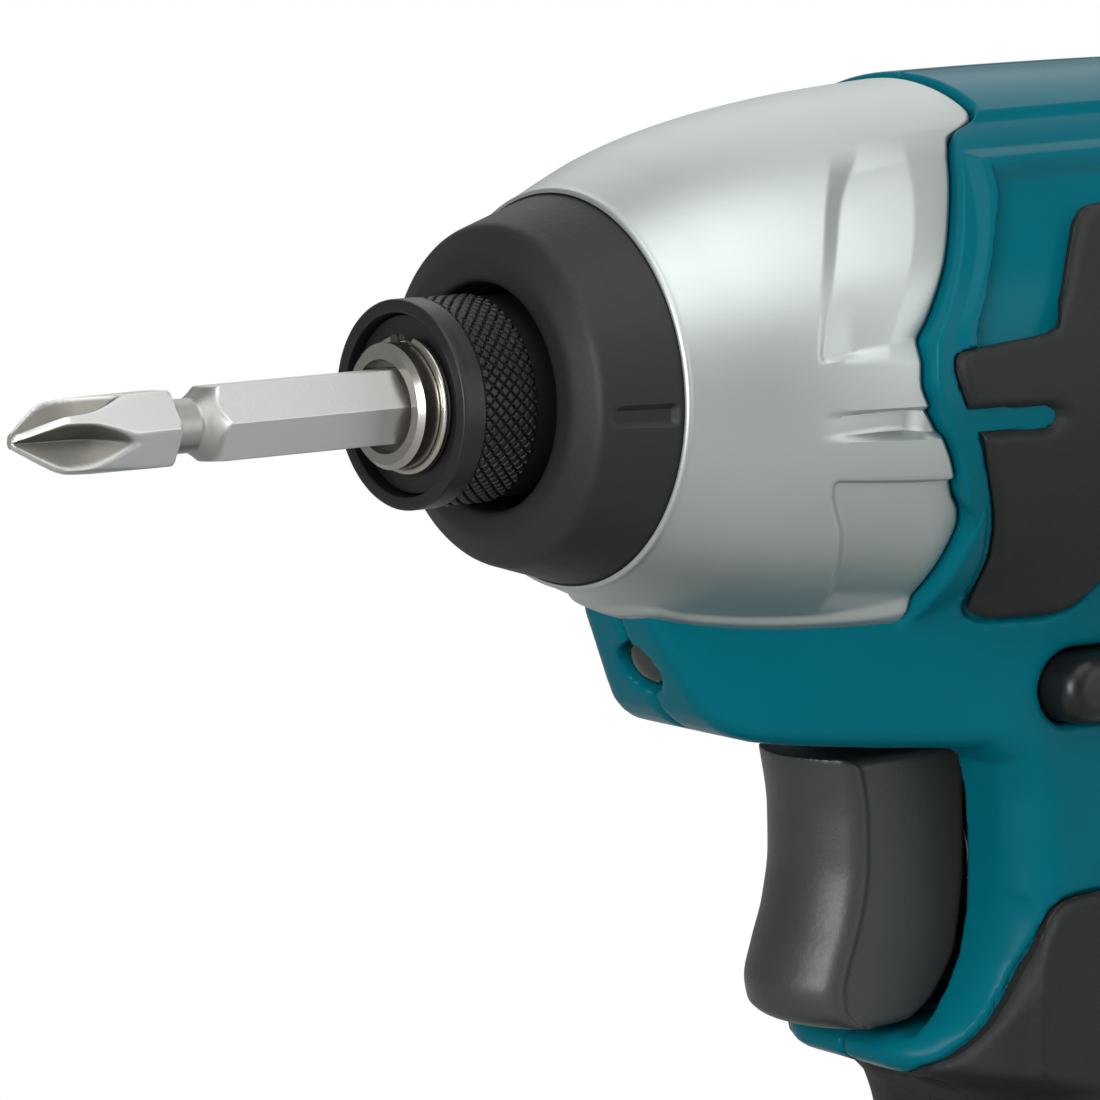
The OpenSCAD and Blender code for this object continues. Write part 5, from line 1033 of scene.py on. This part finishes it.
def cover_field(setback, y, height):
    """Turned cup r < R with a round rear edge, a dish of 0.8 mm in the middle, with bars taken out for
    the vents and wells for the screws."""
    radius = np.hypot(y, height)
    dish = 0.8 * ramp(12.6, 11.4, radius)
    form = rounded_meet(radius - COVER_R, setback - COVER_END + dish, COVER_ROUND)
    form = rounded_meet(form, COVER_FRONT - setback, 0.5)
    turn = np.degrees(np.arctan2(np.abs(y), height))
    for middle in VENT_TURNS:
        across = radius * np.sin(np.radians(turn - middle))
        along = np.abs(setback - (VENT_FRONT + VENT_END) / 2) - (VENT_END - VENT_FRONT) / 2 + VENT_HALF_W
        slit = np.hypot(across, np.maximum(along, 0)) - VENT_HALF_W
        slit = np.maximum(slit, COVER_R - VENT_DEPTH - radius)
        form = rounded_meet(form, -np.where(np.abs(turn - middle) < 60, slit, 9.0), 0.35)
    well = np.hypot(np.abs(y) - COVER_SCREW_Y, height) - COVER_WELL_R
    return rounded_meet(form, -np.maximum(well, COVER_WELL_FLOOR - setback), 0.3)


add_field("rear_cover_form", cover_field, (119.5, -27, -27), (137, 27, 27), 0.54, "teal_plastic",
          "housing", ("rear_cover",))

# %% [markdown]
# ## Battery
# The pack is two moulded cases that meet in a shadow groove. Boxes with round edges, one field for each
# case, carry the details of such packs: sunk side panels, finger ribs on the flanks, the front hump,
# and the rails that slide into the foot. The button is a separate press with ridges for the thumb.

# %% Battery cases
PACK_HALF = (56.5, 37.5)
PACK_TOP, PACK_SPLIT, HUMP_REAR, HUMP_TOP, HUMP_HALF_W = 48.6, 22.0, 32.5, 60.0, 28.0
RAIL_REAR, RAIL_HALF_W, RAIL_TOP, FLANGE_LOW = -49.5, 24.0, 57.6, 54.0
POCKET_X, POCKET_HALF_W, POCKET_LOW, TONGUE_X, TONGUE_HALF_W, TONGUE_LOW = 44.1, 11.4, 43.4, 26.1, 6.4, 51.6
BLADE_Y, BLADE_SLOT, BLADE_FRONT = 12.0, 2.2, -14.0
PANEL_Z, PANEL_HALF_H, PANEL_DEPTH, RIBS_X, RIBS_Z = 11.2, 5.8, 0.8, 22, 34.5
# A reach that is outside the pack on every side
OUTSIDE = 90.0


def box_distance(u, v, half_u, half_v, r):
    """Signed distance to a rectangle with corners of radius r."""
    a, b = np.abs(u) - half_u + r, np.abs(v) - half_v + r
    return np.hypot(np.maximum(a, 0), np.maximum(b, 0)) + np.minimum(np.maximum(a, b), 0) - r


def block(x, y, z, low, high, r=0.0):
    """Signed distance to a block between two corners, with round edges in plan."""
    mid, half = np.add(low, high) / 2, np.subtract(high, low) / 2
    plan = box_distance(x - mid[0], y - mid[1], half[0], half[1], r)
    return np.maximum(plan, np.abs(z - mid[2]) - half[2])


def pack_plan(x, y, z):
    """Plan of the pack with a little draft, sunk panels on the flanks and a plain frame round them."""
    plan = box_distance(x, y, *PACK_HALF, 7.0) + 0.012 * np.abs(z - PACK_SPLIT)
    long_panel = box_distance(x + 4, z - PANEL_Z, 38, PANEL_HALF_H, 2.0)
    short_panel = box_distance(y, z - PANEL_Z, 24, PANEL_HALF_H, 2.0)
    flank, face = np.abs(y) > PACK_HALF[1] - 4, np.abs(x) > PACK_HALF[0] - 4
    sunk = ramp(0.4, -0.5, long_panel) * flank + ramp(0.4, -0.5, short_panel) * face
    return plan + PANEL_DEPTH * sunk


def lower_case_field(setback, y, height):
    """Lower case: the plan meets a round bottom edge and the shadow groove at the split."""
    x, z = NOSE_X - setback, AXIS_Z + height
    form = rounded_meet(pack_plan(x, y, z), -z, 3.6)
    return rounded_meet(form + 0.9 * ramp(20.6, 21.2, z), z - PACK_SPLIT + 0.02, 0.3)


def upper_case_field(setback, y, height):
    """Upper case: shell with a round top edge and ribs, rails, front hump, and the button's pocket
    taken out."""
    x, z = NOSE_X - setback, AXIS_Z + height
    ribs = box_distance(x - RIBS_X, z - RIBS_Z, 17, 7.6, 3.0)
    wave = 0.5 - 0.5 * np.cos(2 * np.pi * (z - RIBS_Z) / 3.2)
    form = pack_plan(x, y, z) + 0.7 * wave * ramp(0.3, -0.8, ribs) * (np.abs(y) > PACK_HALF[1] - 4)
    form = rounded_meet(rounded_meet(form, z - PACK_TOP, 4.0), PACK_SPLIT + 0.02 - z, 0.3)
    rail = block(x, y, z, (RAIL_REAR, -RAIL_HALF_W, 46.0), (HUMP_REAR + 1, RAIL_HALF_W, RAIL_TOP))
    flange = block(x, y, z, (RAIL_REAR, -HUMP_HALF_W, FLANGE_LOW), (HUMP_REAR + 1, HUMP_HALF_W, RAIL_TOP))
    hump = block(x, y, z, (HUMP_REAR, -HUMP_HALF_W, 40.0), (55.9, HUMP_HALF_W, OUTSIDE), 4.0)
    hump = rounded_meet(hump, z - HUMP_TOP, 2.6)
    form = np.minimum(np.minimum(smooth_join(form, hump, 2.0), rail), flange)
    pocket = block(x, y, z, (POCKET_X, -POCKET_HALF_W, POCKET_LOW), (OUTSIDE, POCKET_HALF_W, OUTSIDE), 1.0)
    tongue = block(x, y, z, (TONGUE_X, -TONGUE_HALF_W, TONGUE_LOW), (POCKET_X + 1, TONGUE_HALF_W, OUTSIDE))
    slots = block(x, np.abs(y) - BLADE_Y, z, (-OUTSIDE, -BLADE_SLOT, PACK_TOP + 0.4),
                  (BLADE_FRONT, BLADE_SLOT, OUTSIDE))
    return rounded_meet(form, -np.minimum(np.minimum(pocket, tongue), slots), 0.5)


for name, field, low_z, high_z in (("battery_lower_case", lower_case_field, 0.0, PACK_SPLIT),
                                   ("battery_upper_case", upper_case_field, PACK_SPLIT, HUMP_TOP)):
    reach = PACK_HALF[0] + 1.5
    low, high = (NOSE_X - reach, -39.0, low_z - 1.5 - AXIS_Z), (NOSE_X + reach, 39.0, high_z + 1.5 - AXIS_Z)
    add_field(name + "_form", field, low, high, 0.88, "battery_plastic", "battery", (name,))

# %% Battery button
spring_low, spring_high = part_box("button_spring")
BUTTON_X = (spring_low.x + spring_high.x) / 2 / MM
BORE_R = (spring_high.x - spring_low.x) / 2 / MM + 0.4
BORE_TOP = spring_high.z / MM + 0.1
BUTTON_BACK, BUTTON_FACE, BUTTON_HALF_W, BUTTON_LOW, BUTTON_TOP = 44.5, 56.4, 11.0, 47.2, 58.4
LATCH_X, LATCH_HALF_W, LATCH_LOW = 26.5, 6.0, 55.0


def button_field(setback, y, height):
    """A press with round edges, hollowed for the thumb and ribbed across, with the tongue and hook
    behind it."""
    x, z = NOSE_X - setback, AXIS_Z + height
    ridges = 0.35 * (0.5 - 0.5 * np.cos(2 * np.pi * (z - 48.0) / 2.4))
    ridges = ridges * ramp(8.6, 7.8, np.abs(y)) * ramp(50, 56, x)
    hollow = 1.1 * ramp(10.4, 2.0, np.hypot(y, z - 53.0)) * ramp(50, 56, x)
    press = block(x + ridges + hollow, y, z, (BUTTON_BACK, -BUTTON_HALF_W, 30.0),
                  (BUTTON_FACE, BUTTON_HALF_W, BUTTON_TOP), 1.6)
    press = rounded_meet(rounded_meet(press, z - BUTTON_TOP, 1.6), BUTTON_LOW - z, 0.6)
    rear = (LATCH_X, -LATCH_HALF_W, LATCH_LOW)
    tongue = block(x, y, z, rear, (46.0, LATCH_HALF_W, RAIL_TOP))
    hook = block(x, y, z, rear, (30.5, LATCH_HALF_W, RAIL_TOP + 2.0))
    bore = np.maximum(np.hypot(x - BUTTON_X, y) - BORE_R, z - BORE_TOP)
    return np.maximum(np.minimum(press, np.minimum(tongue, hook)), -bore)


add_field("battery_button_form", button_field, (NOSE_X - 58, -12.5, 45.5 - AXIS_Z),
          (NOSE_X - 25, 12.5, 61.5 - AXIS_Z), 0.36, "button_plastic", "battery_button", ("battery_button",))

# %% [markdown]
# ## Springs
# Four coil springs push the trigger, the hammer, the bit sleeve and the battery's button back. The wire
# is a circle carried along a helix, and the first and last turns lie close together, as on a spring
# whose ends were closed to sit flat. A real spring shortens as its joint moves. The record says which
# end stays put; each coil is built at its full length, and that end is read but not used.

# %% Springs
WIRE_R = {"trigger_spring": 0.4, "hammer_spring": 1.2, "sleeve_spring": 0.35, "button_spring": 0.35}
TURNS = {"trigger_spring": 6, "hammer_spring": 5, "sleeve_spring": 5, "button_spring": 7}


def coil(length, coil_r, wire_r, turns):
    """A circle carried along a helix: the rise per turn is the wire's thickness over the first and the
    last turn and even between them. Gives the distance along the axis and two across it."""
    t = np.linspace(0, turns, turns * 40 + 1)[:, None]
    closed = 2.04 * wire_r
    pitch = (length - 2 * wire_r - 2 * closed) / (turns - 2)
    rise = closed * (np.clip(t, 0, 1) + np.clip(t - turns + 1, 0, 1)) + pitch * np.clip(t - 1, 0, turns - 2)
    ring = np.linspace(0, 2 * np.pi, 14, endpoint=False)[None, :]
    radius = coil_r + wire_r * np.cos(ring)
    turn = 2 * np.pi * t
    return wire_r + rise + wire_r * np.sin(ring), radius * np.cos(turn), radius * np.sin(turn)


for joint in frame["record"]["behaviour"]["joints"]:
    for soft in joint.get("deforming_nodes", []):
        name = soft["node"]
        k = "xyz".index(soft["mode"][-1])
        low, high = (np.array(corner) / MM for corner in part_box(name))
        length, wire_r = high[k] - low[k], WIRE_R[name]
        across = [i for i in range(3) if i != k]
        coil_r = (high[across[0]] - low[across[0]]) / 2 - wire_r
        along, *sides = coil(length, coil_r, wire_r, TURNS[name])
        loops = np.zeros((*along.shape, 3))
        loops[..., k] = low[k] + along
        for i, side in zip(across, sides):
            loops[..., i] = (low[i] + high[i]) / 2 + side
        body = body_of(frame["nodes"][name])[0]
        spring = add_loops(name + "_form", loops, False, "bright_steel", body,
                           stands_for=(name,), sharp=60)
        axis, anchor = np.eye(3)[k], (low + high) / 2 * MM
        anchor[k] = soft["fixed_end_" + "xyz"[k] + "_m"]
        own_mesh(spring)

# %% Size
low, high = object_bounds()
